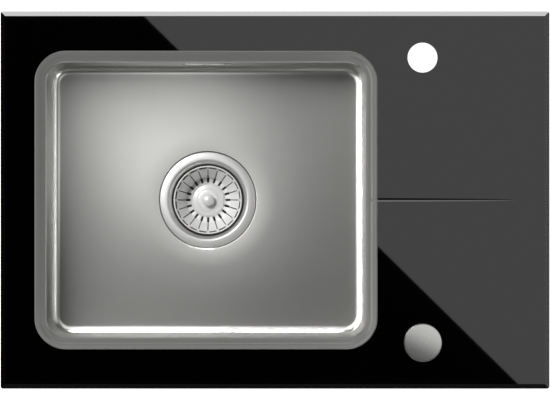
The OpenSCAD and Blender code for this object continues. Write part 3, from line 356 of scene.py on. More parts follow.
def rounded(corners, radius, steps=5):
    """A polyline whose inner corners are turned into arcs: each corner becomes a quadratic curve between the
    points at distance radius before and after it."""
    corners = np.asarray(corners, float)
    before, at, after = corners[:-2], corners[1:-1], corners[2:]
    toward = before - at
    away = after - at
    reach_in = np.linalg.norm(toward, axis=1, keepdims=True)
    reach_out = np.linalg.norm(away, axis=1, keepdims=True)
    first = at + toward / reach_in * np.minimum(radius, reach_in * 0.45)
    last = at + away / reach_out * np.minimum(radius, reach_out * 0.45)
    t = np.linspace(0, 1, steps + 1)[None, :, None]
    curve = (1 - t) ** 2 * first[:, None] + 2 * t * (1 - t) * at[:, None] + t ** 2 * last[:, None]
    return np.concatenate([corners[:1], curve.reshape(-1, 2), corners[-1:]])


def offset(path, thickness):
    """The path moved to its right by a thickness: point + thickness * (dz, -du), where (du, dz) is the
    heading."""
    heading = np.gradient(path, axis=0)
    heading /= np.linalg.norm(heading, axis=1, keepdims=True)
    return path + thickness * np.stack([heading[:, 1], -heading[:, 0]], axis=1)


def lathe(path, sides=128, centre=(0.0, 0.0)):
    """Surface of revolution: point (i, j) = centre + (r_i cos a_j, r_i sin a_j, z_i), where a_j is
    2 pi j / sides."""
    a = np.linspace(0, 2 * math.pi, sides, endpoint=False)
    r, z = np.asarray(path, float).T
    return np.stack([centre[0] + np.outer(r, np.cos(a)), centre[1] + np.outer(r, np.sin(a)),
                     np.repeat(z[:, None], sides, axis=1)], axis=-1).reshape(-1, 3)


# %% [markdown]
# ## The bowl
# The real bowl is one pressed sheet: a lip bedded on the glass, a small step, a ledge, a tight roll into
# near-upright walls, a fillet, and a floor that is dished towards the waste. A box with bevels would not give
# the lip's fine lines, so the section is carried round a rounded rectangle, and over the floor the rings
# change smoothly from that rectangle to the circle of the dish. Both skins are computed, a millimetre apart.
# The floor is dished a little less than in the CAD solid, because its highlight in the photograph is broad.

# %% Outline of the bowl
def side_steps(half, count, fine=()):
    """Places along one straight side, evenly spaced, with extra places given near its middle."""
    return np.unique(np.round(np.concatenate([np.linspace(-half, half, count), fine]), 3))[:-1]


NOTCH_STEPS = np.array([-24, -18, -13, -9, -6, -4, -3, -2.4, -1.8, -1.2, -0.6, 0, 0.6, 1.2, 1.8, 2.4, 3, 4, 6,
                        9, 13, 18, 24])
half_l, half_w, rim_r = RIM
along_y = side_steps(half_w - rim_r, 17, NOTCH_STEPS)
along_x = side_steps(half_l - rim_r, 19)
CORNER_STEPS = 20
corner = np.linspace(0, 90, CORNER_STEPS, endpoint=False)
sides = []
for quarter, line in enumerate((along_y, along_x, along_y, along_x)):
    reach = (half_l, half_w)[quarter % 2] - rim_r
    cross = (half_w, half_l)[quarter % 2] - rim_r
    a = math.radians(90 * quarter)
    axis = np.array([math.cos(a), math.sin(a)])
    along = np.array([-math.sin(a), math.cos(a)])
    middle = reach * axis + line[:, None] * along
    sides.append((middle, np.repeat(axis[None], len(line), 0)))
    b = np.radians(corner + 90 * quarter)
    corner_base = np.repeat((reach * axis + cross * along)[None], len(b), 0)
    sides.append((corner_base, np.stack([np.cos(b), np.sin(b)], 1)))
ring_base = np.concatenate([s[0] for s in sides])
ring_out = np.concatenate([s[1] for s in sides])
print("points round the bowl", len(ring_base))

# %% Section of the bowl
step_path = rounded([(1.5, LIP_Z), (U_LIP - 0.4, LIP_Z), (U_STEP + 0.1, LEDGE_Z), (U_LEDGE, LEDGE_Z)], 1.3)
lip_path = np.concatenate([arc(1.5, GLASS_TOP, 1.5, 180, 95, 8), step_path[:-1],
                           arc(U_LEDGE, ROLL_Z, 3, 90, 4, 8)])
wall_path = np.linspace((U_WALL, ROLL_Z), (U_FOOT, FOOT_Z), 12)
foot_path = arc(U_FLOOR, FOOT_Z, U_FLOOR - U_FOOT, 184, 270, 14)
rim_skin = np.concatenate([lip_path, wall_path[:1]])
pan_skin = np.concatenate([wall_path, foot_path])
dish = rounded([(-DISH_R, FLOOR_Z), (-80, FLOOR_Z - 0.15), (-SEAT_R - 0.5, FLOOR_Z - 0.6),
                (-SEAT_R, FLOOR_Z - 4), (-HOLE_R, FLOOR_Z - 4)], 0.7)
print("points on the section", len(rim_skin), "+", len(pan_skin), "+", len(dish))


# %% Bowl rings
def wall_rings(path):
    """Rings of the rounded rectangle: base + (rim_r - u) * outward direction, at height z."""
    plan = ring_base[None] + (rim_r - path[:, 0])[:, None, None] * ring_out[None]
    return np.dstack([plan, np.repeat(path[:, 1][:, None], len(ring_base), 1)])


floor_edge = wall_rings(np.array([[U_FLOOR, FLOOR_Z]]))[0, :, :2]
bearing = np.arctan2(floor_edge[:, 1], floor_edge[:, 0])
bearing_xy = np.stack([np.cos(bearing), np.sin(bearing)], axis=1)


def dish_rings(path):
    """Circles round the waste, each point on the same bearing as its point on the floor's edge."""
    plan = -path[:, 0][:, None, None] * bearing_xy[None]
    return np.dstack([plan, np.repeat(path[:, 1][:, None], len(bearing), 1)])


def floor_rings(z, steps=9):
    """Rings between the floor's edge and the dish: a mix of the two, with weight s from 0 to 1."""
    s = np.linspace(0, 1, steps + 2)[1:-1, None, None]
    plan = (1 - s) * floor_edge[None] + s * DISH_R * bearing_xy[None]
    return np.dstack([plan, np.full(plan.shape[:2], z)])


def notch(rings):
    """Presses the spout notch in the lip at +X: a round groove 0.6 mm deep where the drain groove ends."""
    x, y, z = rings[..., 0], rings[..., 1], rings[..., 2]
    on_lip = np.clip((x - (half_l - U_STEP)) / 1.5, 0, 1) * (z > GLASS_TOP)
    round_cut = np.clip(0.6 - (3 - np.sqrt(np.clip(9 - y ** 2, 0, None))), 0, None) * (np.abs(y) < 3)
    soft = 0.25 * np.exp(-(y / 11) ** 2)
    rings[..., 2] = np.where(z > GLASS_TOP, np.maximum(z - on_lip * (round_cut + soft), GLASS_TOP + 0.1), z)
    return rings


def shell(name, top, under, sharp, material):
    """A closed sheet from the rings of its top skin and, backwards, those of its underside."""
    rings = np.concatenate([top, under[::-1]])
    rows, cols = rings.shape[:2]
    return piece(name, rings.reshape(-1, 3) + (BOWL_X, 0, 0), grid_faces(rows, cols, wrap_rows=True), "bowl",
                 material, sharp)


SHEET = 1.0
under_skin = offset(np.concatenate([rim_skin, pan_skin[1:]]), SHEET)
rim_under = under_skin[:len(rim_skin)]
pan_under = under_skin[len(rim_skin) - 1:]
rim = shell("bowl_rim", notch(wall_rings(rim_skin)), wall_rings(rim_under), 40, LOOKS["bowl_steel"])
pan_top = np.concatenate([wall_rings(pan_skin), floor_rings(FLOOR_Z), dish_rings(dish)])
pan_below = np.concatenate([wall_rings(pan_under), floor_rings(FLOOR_Z - SHEET),
                            dish_rings(offset(dish, SHEET))])
pan = shell("bowl_pan", pan_top, pan_below, 40, LOOKS["pan_steel"])
print("rim quads", len(rim.data.polygons), "pan quads", len(pan.data.polygons))

# %% [markdown]
# ## Cutting a hole in a pressed piece
# The overflow's slot goes through the back wall behind its cover. Cutting it with a boolean keeps the wall's
# grid simple. The cutter is a closed slab with round ends, and it is thrown away afterwards.

# %% Overflow slot
OVER_Z, WALL_Y = -35.0, 159.77
OVER_L, OVER_H = 44, 12


def cut(obj, points, faces):
    """Subtracts a closed cutter from a piece, and applies the result."""
    cutter = bpy.data.objects.new("cutter", merged("cutter", points, faces))
    bpy.context.scene.collection.objects.link(cutter)
    step = obj.modifiers.new("cut", "BOOLEAN")
    step.object = cutter
    step.operation = "DIFFERENCE"
    step.solver = "EXACT"
    bpy.context.view_layer.update()
    done = bpy.data.meshes.new_from_object(obj.evaluated_get(bpy.context.evaluated_depsgraph_get()))
    obj.modifiers.remove(step)
    obj.data = done
    bpy.data.objects.remove(cutter)


def slot_ring(length, height, steps=12):
    """Outline of a slot with round ends in (x, z), running round once."""
    right = arc((length - height) / 2, 0, height / 2, -90, 90, steps)
    return np.concatenate([right, -right])


def slot_prism(length, height, y0, y1):
    """Slot-shaped prism along Y, closed at both ends by a fan to the middle."""
    ring = slot_ring(length, height)
    rows = [(0, y0), (1, y0), (1, y1), (0, y1)]
    rings = [np.stack([ring[:, 0] * s, np.full(len(ring), y), ring[:, 1] * s], 1) for s, y in rows]
    return np.concatenate(rings), grid_faces(4, len(ring))


slot_points, slot_faces = slot_prism(OVER_L, OVER_H, WALL_Y - 6, WALL_Y + 8)
cut(pan, slot_points + (BOWL_X, 0, OVER_Z), slot_faces)
pan.data.set_sharp_from_angle(angle=math.radians(40))
print("pan faces after the cut", len(pan.data.polygons))

# %% [markdown]
# ## Pieces carried over from CAD
# Seals, brackets, nuts and mouldings already have the right shape. What a solid model lacks is the small
# round on each edge that catches the light, so a merged copy of each gets one and replaces the node.

# %% Dressed copies
def dressed(node, edge, angle=32, steps=2, name=None):
    """A copy of a CAD node whose flat faces are joined again and whose sharp edges are rounded by edge mm."""
    bm = bmesh.new()
    bm.from_mesh(frame["nodes"][node].data)
    bmesh.ops.remove_doubles(bm, verts=bm.verts, dist=2e-6)
    bmesh.ops.dissolve_limit(bm, angle_limit=math.radians(0.4), verts=bm.verts, edges=bm.edges, delimit=set())
    crisp = [e for e in bm.edges if len(e.link_faces) == 2 and e.calc_face_angle(0) > math.radians(angle)]
    if edge:
        bmesh.ops.bevel(bm, geom=crisp, offset=edge * MM, segments=steps, profile=0.6, affect="EDGES",
                        clamp_overlap=True)
    mesh = bpy.data.meshes.new(name or node + "_dressed")
    bm.to_mesh(mesh)
    bm.free()
    return settle(name or node + "_dressed", mesh, node)


EDGES = {
    "foam_seal": 0.3, "rim_bond": 0.1, "sound_pads": 0.6, "flange_seal": 0.2, "body_seal": 0.4,
    "waste_housing": 0.4, "clamp_screw": 0.25, "basket_stem": 0.2, "basket_plug": 0.5, "lift_pin": 0.4,
    "lift_lever": 0.3, "lever_seal": 0.2, "port_cap": 0.5, "knob_set_screw": 0.15, "knob_spindle": 0.3,
    "control_bush": 0.25, "bush_washer_top": 0.1, "bush_washer_bottom": 0.3, "control_nut": 0.5,
    "cable_box": 0.5, "cable_slider": 0.25, "cable_ferrules": 0.3, "cable_core_end": 0.2,
    "overflow_cover": 0.3, "overflow_screw": 0.15, "overflow_seal": 0.3, "overflow_elbow": 0.5,
    "hose_clips": 0.2,
    **{f"clip_{kind}_{k}": 0.3 for kind in ("nut", "foot") for k in range(1, 5)},
}
for node, edge in EDGES.items():
    dressed(node, edge)
print("dressed", len(EDGES), "nodes")

# %% [markdown]
# ## The glass plate
# The plate is flat glass with a ground and polished facet, so its CAD shape is already exact. Its faces are
# joined again, kept flat so that it mirrors truly, and the facet's faces get their own finish. The drain
# groove is widened by a third, as the photograph has it. A lamp can't be aimed into a groove 2 mm wide, so
# one flank gets painted shade, a black finish that hardly reflects, and the other a finish that mirrors more
# strongly than the glass.

# %% Glass
def vectors(items, key):
    """One vector of each vertex or face, as an array of n rows and 3 columns."""
    flat = np.empty(len(items) * 3)
    items.foreach_get(key, flat)
    return flat.reshape(-1, 3)


glass = dressed("glass_plate", 0.0, name="glass_polished")
places = vectors(glass.data.vertices, "co")
near_groove = (np.abs(places[:, 1]) < 0.003) & (places[:, 0] > 0.1)
places[near_groove, 1] *= 1.3
glass.data.vertices.foreach_set("co", places.reshape(-1))
glass.data.shade_flat()
for extra_look in (FACET_GLASS, GROOVE_SHADE, GROOVE_SHINE):
    glass.data.materials.append(extra_look)
directions = vectors(glass.data.polygons, "normal")
centres = vectors(glass.data.polygons, "center")
tilt = directions[:, 2]
at_edge = (np.abs(centres[:, 0]) > 0.312) | (np.abs(centres[:, 1]) > 0.212)
in_groove = (np.abs(centres[:, 1]) < 0.003) & (centres[:, 0] > 0.1) & (tilt > 0.05) & (tilt < 0.9999)
# The flank whose faces turn towards -Y takes the painted shade.
shaded = in_groove & (directions[:, 1] < 0)
is_facet = (tilt > 0.8) & (tilt < 0.95) & at_edge
look_number = is_facet + 2 * shaded + 3 * (in_groove & ~shaded)
glass.data.polygons.foreach_set("material_index", look_number.astype(np.int32))
print("facet faces", int(is_facet.sum()), "groove faces", int(in_groove.sum()))

# %% [markdown]
# ## Studs with a thread
# Four plates are glued under the glass, each with a stud. A thread is a height on a cylinder: the radius
# rises and falls along a helix, so turning the stud by one turn moves the wave by one pitch.

# %% Thread
def thread(root, crest, pitch, z0, z1, centre, sides=28):
    """Helical thread: r = root + (crest - root) * ridge, with ridge = (1 + cos(2 pi z / pitch - a)) / 2. Over
    the last pitch at either end the ridge runs out to the root. The grid closes on the axis."""
    z = np.linspace(z0, z1, int(round((z1 - z0) / pitch * 6)) + 1)
    a = np.linspace(0, 2 * math.pi, sides, endpoint=False)
    phase = z[:, None] / pitch - a[None] / (2 * math.pi)
    ridge = 0.5 + 0.5 * np.cos(2 * math.pi * phase)
    ridge = ridge * np.clip(np.minimum(z - z0, z1 - z) / pitch, 0, 1)[:, None]
    r = root + (crest - root) * ridge
    r = np.concatenate([np.zeros((1, sides)), r, np.zeros((1, sides))])
    z = np.concatenate([[z0], z, [z1]])
    x, y = centre[0] + r * np.cos(a), centre[1] + r * np.sin(a)
    return np.stack([x, y, np.repeat(z[:, None], sides, 1)], -1).reshape(-1, 3), grid_faces(len(z), sides)


def join(parts):
    """Several point and face arrays as one."""
    start, points, faces = 0, [], []
    for p, f in parts:
        points.append(p)
        faces.append(f + start)
        start += len(p)
    return np.concatenate(points), np.concatenate(faces)


# %% Stud plates
def slab(half_x, half_y, r, z0, z1, centre, edge=0.3):
    """Rounded rectangle slab with a small bevel on its edges, from rings of that outline."""
    b = np.radians(np.linspace(0, 360, 48, endpoint=False))
    sx, sy = np.sign(np.cos(b) + 1e-9), np.sign(np.sin(b) + 1e-9)
    base = np.stack([sx * (half_x - r), sy * (half_y - r)], 1)
    way = np.stack([np.cos(b), np.sin(b)], 1)
    rows = [(r * 0.01, z0), (r - edge, z0), (r, z0 + edge), (r, z1 - edge), (r - edge, z1), (r * 0.01, z1)]
    rings = [np.column_stack([base + q * way, np.full(len(b), z)]) for q, z in rows]
    shrink = [np.column_stack([np.zeros((len(b), 2)), np.full(len(b), z)]) for z in (z0, z1)]
    points = np.concatenate([shrink[0], *rings, shrink[1]])
    return points + (*centre, 0), grid_faces(len(rings) + 2, len(b))


STUD_X, STUD_Y = 225, 198
stud_parts = []
for sx, sy in ((1, 1), (-1, 1), (-1, -1), (1, -1)):
    spot = (STUD_X * sx, STUD_Y * sy)
    stud_parts.append(slab(28, 9, 4, 0.5, 2.0, spot))
    stud_parts.append(thread(2.55, 3.0, 1.0, -56.0, 0.7, spot))
studs = piece("studs_threaded", *join(stud_parts), "stud_plates", sharp=50)
print("stud quads", len(studs.data.polygons))

# %% [markdown]
# ## The waste: cup and basket
# Both are pressed from sheet and pierced. The sheet is a lathed grid in which the cells of each slot are
# left out. The grid's columns bend so that they follow the slots' edges, and Solidify gives the sheet its
# thickness. As in the photograph, the slots are narrow in the basket's wall and wide at its foot.

# %% Pierced lathe
def pierced(path, columns, holes, centre):
    """Lathed sheet with holes. columns(r, z) gives the bearings of the columns on a ring, and
    holes(rows, cols) the mask of the cells that are left out."""
    path = np.asarray(path, float)
    bearings = np.stack([columns(r, z) for r, z in path])
    r = path[:, 0][:, None]
    z = np.repeat(path[:, 1][:, None], bearings.shape[1], 1)
    points = np.stack([centre[0] + r * np.cos(bearings), centre[1] + r * np.sin(bearings), z], -1)
    rows, cols = bearings.shape
    quads = grid_faces(rows, cols).reshape(rows - 1, cols, 4)
    return points.reshape(-1, 3), quads[~holes(rows - 1, cols)]


def sheet_metal(obj, thickness, edge, grows):
    """Gives an open pressed sheet its thickness, on the side that grows sets (1 or -1), and small rounds."""
    wall = obj.modifiers.new("sheet", "SOLIDIFY")
    wall.thickness = thickness * MM
    wall.offset = grows
    wall.use_even_offset = True
    wall.use_rim = True
    soft = obj.modifiers.new("edges", "BEVEL")
    soft.width = edge * MM
    soft.segments = 2
    soft.limit_method = "ANGLE"
    soft.angle_limit = math.radians(50)


# %% Basket
SLOTS = 20
TROUGH_Z, HUB_Z = -186.8, -178.8
WALL_SLOT_HALF, FOOT_SLOT_HALF, WINDOW_HALF = 0.55, 1.35, 4.5
hub_path = rounded([(4.0, HUB_Z), (11.8, HUB_Z - 0.6), (13.8, HUB_Z - 2.4), (19.0, TROUGH_Z + 3.4),
                    (19.8, TROUGH_Z + 1.6), (21.2, TROUGH_Z + 0.8)], 1.2, 4)
trough_path = [(r, TROUGH_Z + 0.8) for r in (20.9, 21.2, 21.8, 22.6, 23.6, 24.6)]
side_path = rounded([(25.2, TROUGH_Z + 0.8), (26.4, TROUGH_Z + 0.9), (37.0, -165.3), (37.6, -164.3),
                     (39.0, -161.4), (39.6, -160.2)], 1.0, 4)
rolled_rim = arc(40.3, -159.7, 0.9, 170, -60, 10)
basket_path = np.concatenate([hub_path[:-1], trough_path, side_path[1:], rolled_rim])
print("basket rows", len(basket_path))


def basket_columns(r, z):
    """Bearings of the columns: for each slot its two edges at asin(half width / r), then the window's edges,
    asin(half width / r) to either side of half a step, and its middle. Below the windows the same columns
    stand at 0.65 of the way from the middle of the web to the slots, and between the two they blend."""
    in_wall = z > TROUGH_Z + 1.2
    half = math.asin((WALL_SLOT_HALF if in_wall else FOOT_SLOT_HALF) / max(r, 12.0))
    step = 2 * math.pi / SLOTS
    web = (step / 2 - half) * 0.65
    window = math.asin(WINDOW_HALF / max(r, 34.0))
    blend = min(max((z + 168.0) / 3.0, 0.0), 1.0)
    reach = web + blend * (window - web)
    spots = np.array([-half, half, step / 2 - reach, step / 2, step / 2 + reach])
    return (np.arange(SLOTS)[:, None] * step + spots[None] + math.pi / 2).reshape(-1)


row_r = (basket_path[:-1, 0] + basket_path[1:, 0]) / 2
row_z = (basket_path[:-1, 1] + basket_path[1:, 1]) / 2
slot_rows = (row_r > 20.5) & (row_z < -169.4) & (row_r < 36.0)
window_rows = (row_z > -164.6) & (row_z < -161.3) & (row_r < 39.6)


def basket_holes(rows, cols):
    """Cells left out: the slot's column on the slot rows, the two window columns on the window rows."""
    kind = np.arange(cols) % 5
    in_window = (kind == 2) | (kind == 3)
    return (slot_rows[:, None] & (kind == 0)[None]) | (window_rows[:, None] & in_window[None])


basket_points, basket_quads = pierced(basket_path, basket_columns, basket_holes, WASTE)
basket = piece("basket_pressed", basket_points, basket_quads, "basket", LOOKS["strainer_steel"], 45,
               outward=False)
sheet_metal(basket, 0.8, 0.12, 1.0)
print("basket cells", len(basket.data.polygons))
print("slot rows", int(slot_rows.sum()), "window rows", int(window_rows.sum()))

# %% Cup
crown = [(48.6 + 8.4 * t, -151.15 - 1.2 * t ** 2.3) for t in np.linspace(1, 0, 14)]
cup_path = np.concatenate([
    [(57.15, -153.0), (57.2, -152.4)],
    crown,
    rounded([(48.0, -151.15), (46.4, -151.9), (43.0, -156.0), (43.0, -170.0)], 0.8, 4)[1:],
    [(43.0, -178.0)],
    arc(39.0, -187.0, 4, 0, -90, 6),
    [(r, -191.0) for r in (36.0, 30.0, 24.0, 19.0, 17.5, 15.5, 13.5, 11.5, 9.5, 8.0, 4.2)]])


def cup_columns(r, z):
    """Bearings of the columns: for each of the four 5 mm spokes its middle and its two edges, with 28 more
    columns evenly spaced from one spoke to the next."""
    half = math.asin(2.5 / max(r, 9.0))
    between = np.linspace(half, math.pi / 2 - half, 30)
    return (np.arange(4)[:, None] * math.pi / 2 + np.concatenate([between, [math.pi / 2]])[None]).reshape(-1)


cup_r = (cup_path[:-1, 0] + cup_path[1:, 0]) / 2
drain_rows = (cup_r > 9.5) & (cup_r < 17.5) & (cup_path[1:, 1] < -190.5)


def cup_holes(rows, cols):
    """Cells left out of the floor: everything between two spokes on the drain rows."""
    kind = np.arange(cols) % 31
    return drain_rows[:, None] & (kind < 29)[None]


cup_points, cup_quads = pierced(cup_path, cup_columns, cup_holes, WASTE)
cup = piece("cup_pressed", cup_points, cup_quads, "strainer_cup", LOOKS["flange_steel"], 45,
            outward=False)
sheet_metal(cup, 1.0, 0.15, -1.0)
print("cup cells", len(cup.data.polygons), "drain rows", int(drain_rows.sum()))

# %% [markdown]
# ## Turned pieces: the basket's button and the knob
# Both are solids of revolution, so a profile round the axis gives clean reflections that a faceted solid
# can't. The knob is hollow underneath, where its boss fits over the spindle.

# %% Button
button_edge = HUB_Z + 4
button_side = rounded([(5.0, HUB_Z + 3.0), (5.2, button_edge), (7.2, button_edge), (7.2, button_edge + 1.5),
                       (7.0, button_edge + 1.6)], 0.4, 3)
button_path = np.concatenate([[(0, HUB_Z), (5.0, HUB_Z), (5.0, HUB_Z + 3.0)], button_side[1:],
                              arc(0, button_edge + 1.5 - 4.32, 8.22, 31.5, 90, 14)])
button_path[-1, 0] = 0.0
piece("button_turned", lathe(button_path, 64, WASTE), grid_faces(len(button_path), 64), "basket_button",
      LOOKS["strainer_steel"])
print("button top", round(float(button_path[-1, 1]), 2))

# %% Knob
knob_path = np.concatenate([
    [(0, 25.7), (5.0, 25.7), (5.0, 12.7), (9.0, 12.7), (9.0, 23.7), (19.5, 23.7), (19.5, 12.7)],
    rounded([(19.5, 12.7), (22.0, 12.7), (22.0, 28.0), (21.3, 28.56), (20.0, 28.7)], 0.4, 5)[1:-1],
    arc(0, 29.7 - 200, 200, 90 - 5.8, 90, 24)])
knob_path[-1, 0] = 0.0
knob = piece("knob_turned", lathe(knob_path, 128, KNOB), grid_faces(len(knob_path), 128), "control_knob",
             sharp=40)
print("knob radius", float(knob_path[:, 0].max()))

# %% [markdown]
# ## Tubes along a path
# The cable's sheath and the overflow's hose follow a route. A ring of points is carried along it, turned as
# little as possible from step to step so that it doesn't twist, and the hose's radius rises at each rib.

# %% Route and tube
def smooth_route(points, steps):
    """Catmull-Rom curve through the points a, b, c, d, from b to c with t from 0 to 1:
    half of (2b + (c-a)t + (2a-5b+4c-d)t^2 + (3b-a-3c+d)t^3)."""
    p = np.asarray(points, float)
    p = np.concatenate([2 * p[:1] - p[1:2], p, 2 * p[-1:] - p[-2:-1]])
    a, b, c, d = (p[k:len(p) - 3 + k][:, None] for k in range(4))
    t = np.linspace(0, 1, steps, endpoint=False)[None, :, None]
    bow = (2 * a - 5 * b + 4 * c - d) * t ** 2 + (3 * b - a - 3 * c + d) * t ** 3
    curve = 0.5 * (2 * b + (c - a) * t + bow)
    return np.concatenate([curve.reshape(-1, 3), p[-2:-1]])


def tube(route, radius, sides=32, bore=None):
    """Rings of the given radius along a route. Each ring's axes are the last ring's, turned to the new
    heading. With a bore the grid goes back along the inside, otherwise both ends close on the axis."""
    heading = np.gradient(route, axis=0)
    heading /= np.linalg.norm(heading, axis=1, keepdims=True)
    side = np.empty_like(route)
    last = np.cross(heading[0], [0.3, 0.9, 0.2])
    for k, way in enumerate(heading):
        last = last - way * last.dot(way)
        last = last / np.linalg.norm(last)
        side[k] = last
    other = np.cross(heading, side)
    a = np.linspace(0, 2 * math.pi, sides, endpoint=False)

    def rings(r, rows):
        """Circle points: route + r (cos a * side + sin a * other)."""
        r = np.broadcast_to(r, (len(rows),))[:, None, None]
        circle = np.cos(a)[:, None] * side[rows][:, None] + np.sin(a)[:, None] * other[rows][:, None]
        return route[rows][:, None] + r * circle

    every = np.arange(len(route))
    if bore is None:
        points = np.concatenate([rings(0.0, every[:1]), rings(radius, every), rings(0.0, every[-1:])])
    else:
        points = np.concatenate([rings(radius, every), rings(bore, every[::-1])])
    return points.reshape(-1, 3), grid_faces(len(points), sides, wrap_rows=bore is not None)


# %% Cable sheath
CABLE_X = BOWL_X + 69.05
core_low, core_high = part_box("cable_core_end")
CABLE_Z = float((core_low.z + core_high.z) / 2 / MM)
SHEATH = [(172, -166, -84), (172, -166, -104), (168, -167, -145), (154, -170, -180), (130, -174, -206),
          (98, -175, -223), (64, -168, -232), (34, -154, -235), (8, -130, -236), (-10, -98, -236),
          (CABLE_X, -62, CABLE_Z), (CABLE_X, -44, CABLE_Z), (CABLE_X, -26, CABLE_Z)]
sheath_route = smooth_route(SHEATH, 10)
piece("cable_sheath_round", *tube(sheath_route, 2.5, 24), "cable_sheath")
sheath_len = np.linalg.norm(np.diff(sheath_route, axis=0), axis=1).sum()
print("cable sheath, mm:", round(float(sheath_len)), "cable height", round(CABLE_Z, 2))

# %% Overflow hose
SPIGOT_Y, HOSE_TOP, BEND_R, BRANCH_Z, HOSE_END_Y, CUFF = 174.77, -55.0, 40.0, -180.0, 62.0, 20.0
drop_len = HOSE_TOP - (BRANCH_Z + BEND_R)
bend_len = BEND_R * math.pi / 2
hose_len = drop_len + bend_len + SPIGOT_Y - BEND_R - HOSE_END_Y
RIBS = 44
rib_pitch = (hose_len - 2 * CUFF) / RIBS
marks = np.concatenate([[0, CUFF * 0.5, CUFF - 0.4], CUFF + rib_pitch * np.arange(0, RIBS, 1 / 8),
                        [hose_len - CUFF + 0.4, hose_len - CUFF * 0.5, hose_len]])
bend = np.clip((marks - drop_len) / BEND_R, 0, math.pi / 2)
hose_y = SPIGOT_Y - BEND_R * (1 - np.cos(bend)) - np.clip(marks - drop_len - bend_len, 0, None)
hose_z = HOSE_TOP - np.clip(marks, 0, drop_len) - BEND_R * np.sin(bend)
hose_route = np.stack([np.full(len(marks), BOWL_X), hose_y, hose_z], 1)
wave = (marks - CUFF) / rib_pitch
in_ribs = (wave >= 0) & (wave < RIBS)
rib = np.clip(0.5 + 0.9 * np.sin(2 * math.pi * wave), 0, 1)
hose_radius = np.where(in_ribs, 10.1 + 1.5 * rib, 10.7)
hose = piece("overflow_hose_ribbed", *tube(hose_route, hose_radius, 40, bore=8.5), "overflow_hose", sharp=50)
print("hose, mm:", round(hose_len), "quads", len(hose.data.polygons))

# %% [markdown]
# ## Floor, world and lights
# The photograph stands on pure white. The floor and the world are white where a camera looks at them, also
# through glass, and the floor keeps a faint shadow. In a mirror the floor is a mid grey and the world a grey
# band at the horizon, so that black glass stays black. Floor and world put little light on the object.

# %% Floor
FLOOR_LEVEL = -0.2563
FLOOR_GLOW, FLOOR_IN_MIRRORS = 0.92, 0.45


def backdrop():
    """Pale floor under the sink: a steady glow for rays that look at it, plus a little that takes shadow.
    From below it is clear, so that views of the underside see the sink."""
    mesh = bpy.data.meshes.new("floor")
    outline = [(-6, -6, FLOOR_LEVEL), (6, -6, FLOOR_LEVEL), (6, 6, FLOOR_LEVEL), (-6, 6, FLOOR_LEVEL)]
    mesh.from_pydata(outline, [], [(0, 1, 2, 3)])
    obj = bpy.data.objects.new("floor", mesh)
    bpy.context.scene.collection.objects.link(obj)
    material = bpy.data.materials.new("floor_white")
    material.use_nodes = True
    tree = material.node_tree
    tree.nodes.clear()
    out = add(tree, "OutputMaterial")
    path = add(tree, "LightPath")
    seen = add(tree, "Math", {0: path.outputs["Is Camera Ray"], 1: path.outputs["Is Transmission Ray"]},
               operation="MAXIMUM")
    shown = add(tree, "Math", {0: seen.outputs[0], 1: FLOOR_GLOW}, operation="MULTIPLY")
    mirrored = add(tree, "Math", {0: path.outputs["Is Glossy Ray"], 1: FLOOR_IN_MIRRORS},
                   operation="MULTIPLY")
    level = add(tree, "Math", {0: shown.outputs[0], 1: mirrored.outputs[0]}, operation="MAXIMUM")
    glow = add(tree, "Emission", {"Color": (1, 1, 1, 1), "Strength": level.outputs[0]})
    matt = add(tree, "BsdfDiffuse", {"Color": (0.5, 0.5, 0.5, 1)})
    both = add(tree, "AddShader", {0: glow.outputs[0], 1: matt.outputs[0]})
    back = add(tree, "NewGeometry")
    clear = add(tree, "BsdfTransparent")
    sided = add(tree, "MixShader", {0: back.outputs["Backfacing"], 1: both.outputs[0], 2: clear.outputs[0]})
    tree.links.new(sided.outputs[0], out.inputs["Surface"])
    mesh.materials.append(material)
    return obj


floor = backdrop()
print("floor at", round(floor.data.vertices[0].co.z, 4))

# %% World
HORIZON, AMBIENT = 0.5, 0.12
world = bpy.data.worlds.new("studio")
world.use_nodes = True
bpy.context.scene.world = world
sky = world.node_tree
sky.nodes.clear()
sky_out = add(sky, "OutputWorld")
ray = add(sky, "LightPath")
seen = add(sky, "Math", {0: ray.outputs["Is Camera Ray"], 1: ray.outputs["Is Transmission Ray"]},
           operation="ADD", use_clamp=True)
sky_way = add(sky, "NewGeometry")
sky_height = add(sky, "SeparateXYZ", {0: sky_way.outputs["Position"]})
horizon = add(sky, "MapRange", {"Value": sky_height.outputs["Z"], "From Min": 0.0, "From Max": 0.2,
                                "To Min": HORIZON, "To Max": 0.0}, interpolation_type="SMOOTHSTEP")
ambient = add(sky, "Math", {0: ray.outputs["Is Diffuse Ray"], 1: AMBIENT}, operation="MULTIPLY")
unseen = add(sky, "Math", {0: horizon.outputs[0], 1: ambient.outputs[0]}, operation="MAXIMUM")
strength = add(sky, "Math", {0: unseen.outputs[0], 1: seen.outputs[0]}, operation="MAXIMUM")
shine = add(sky, "Background", {"Color": (1, 1, 1, 1), "Strength": strength.outputs[0]})
sky.links.new(shine.outputs[0], sky_out.inputs["Surface"])
print("world nodes", len(sky.nodes))

# %% [markdown]
# ## Lamps
# A flat lamp is a card in a studio: a mirror shows it, satin metal blurs it. Each group of pieces has its own
# cards, by light linking, because black glass, a satin bowl and a small bright basket each need something
# else over them, as a photographer gets with several exposures. The camera doesn't see the cards.


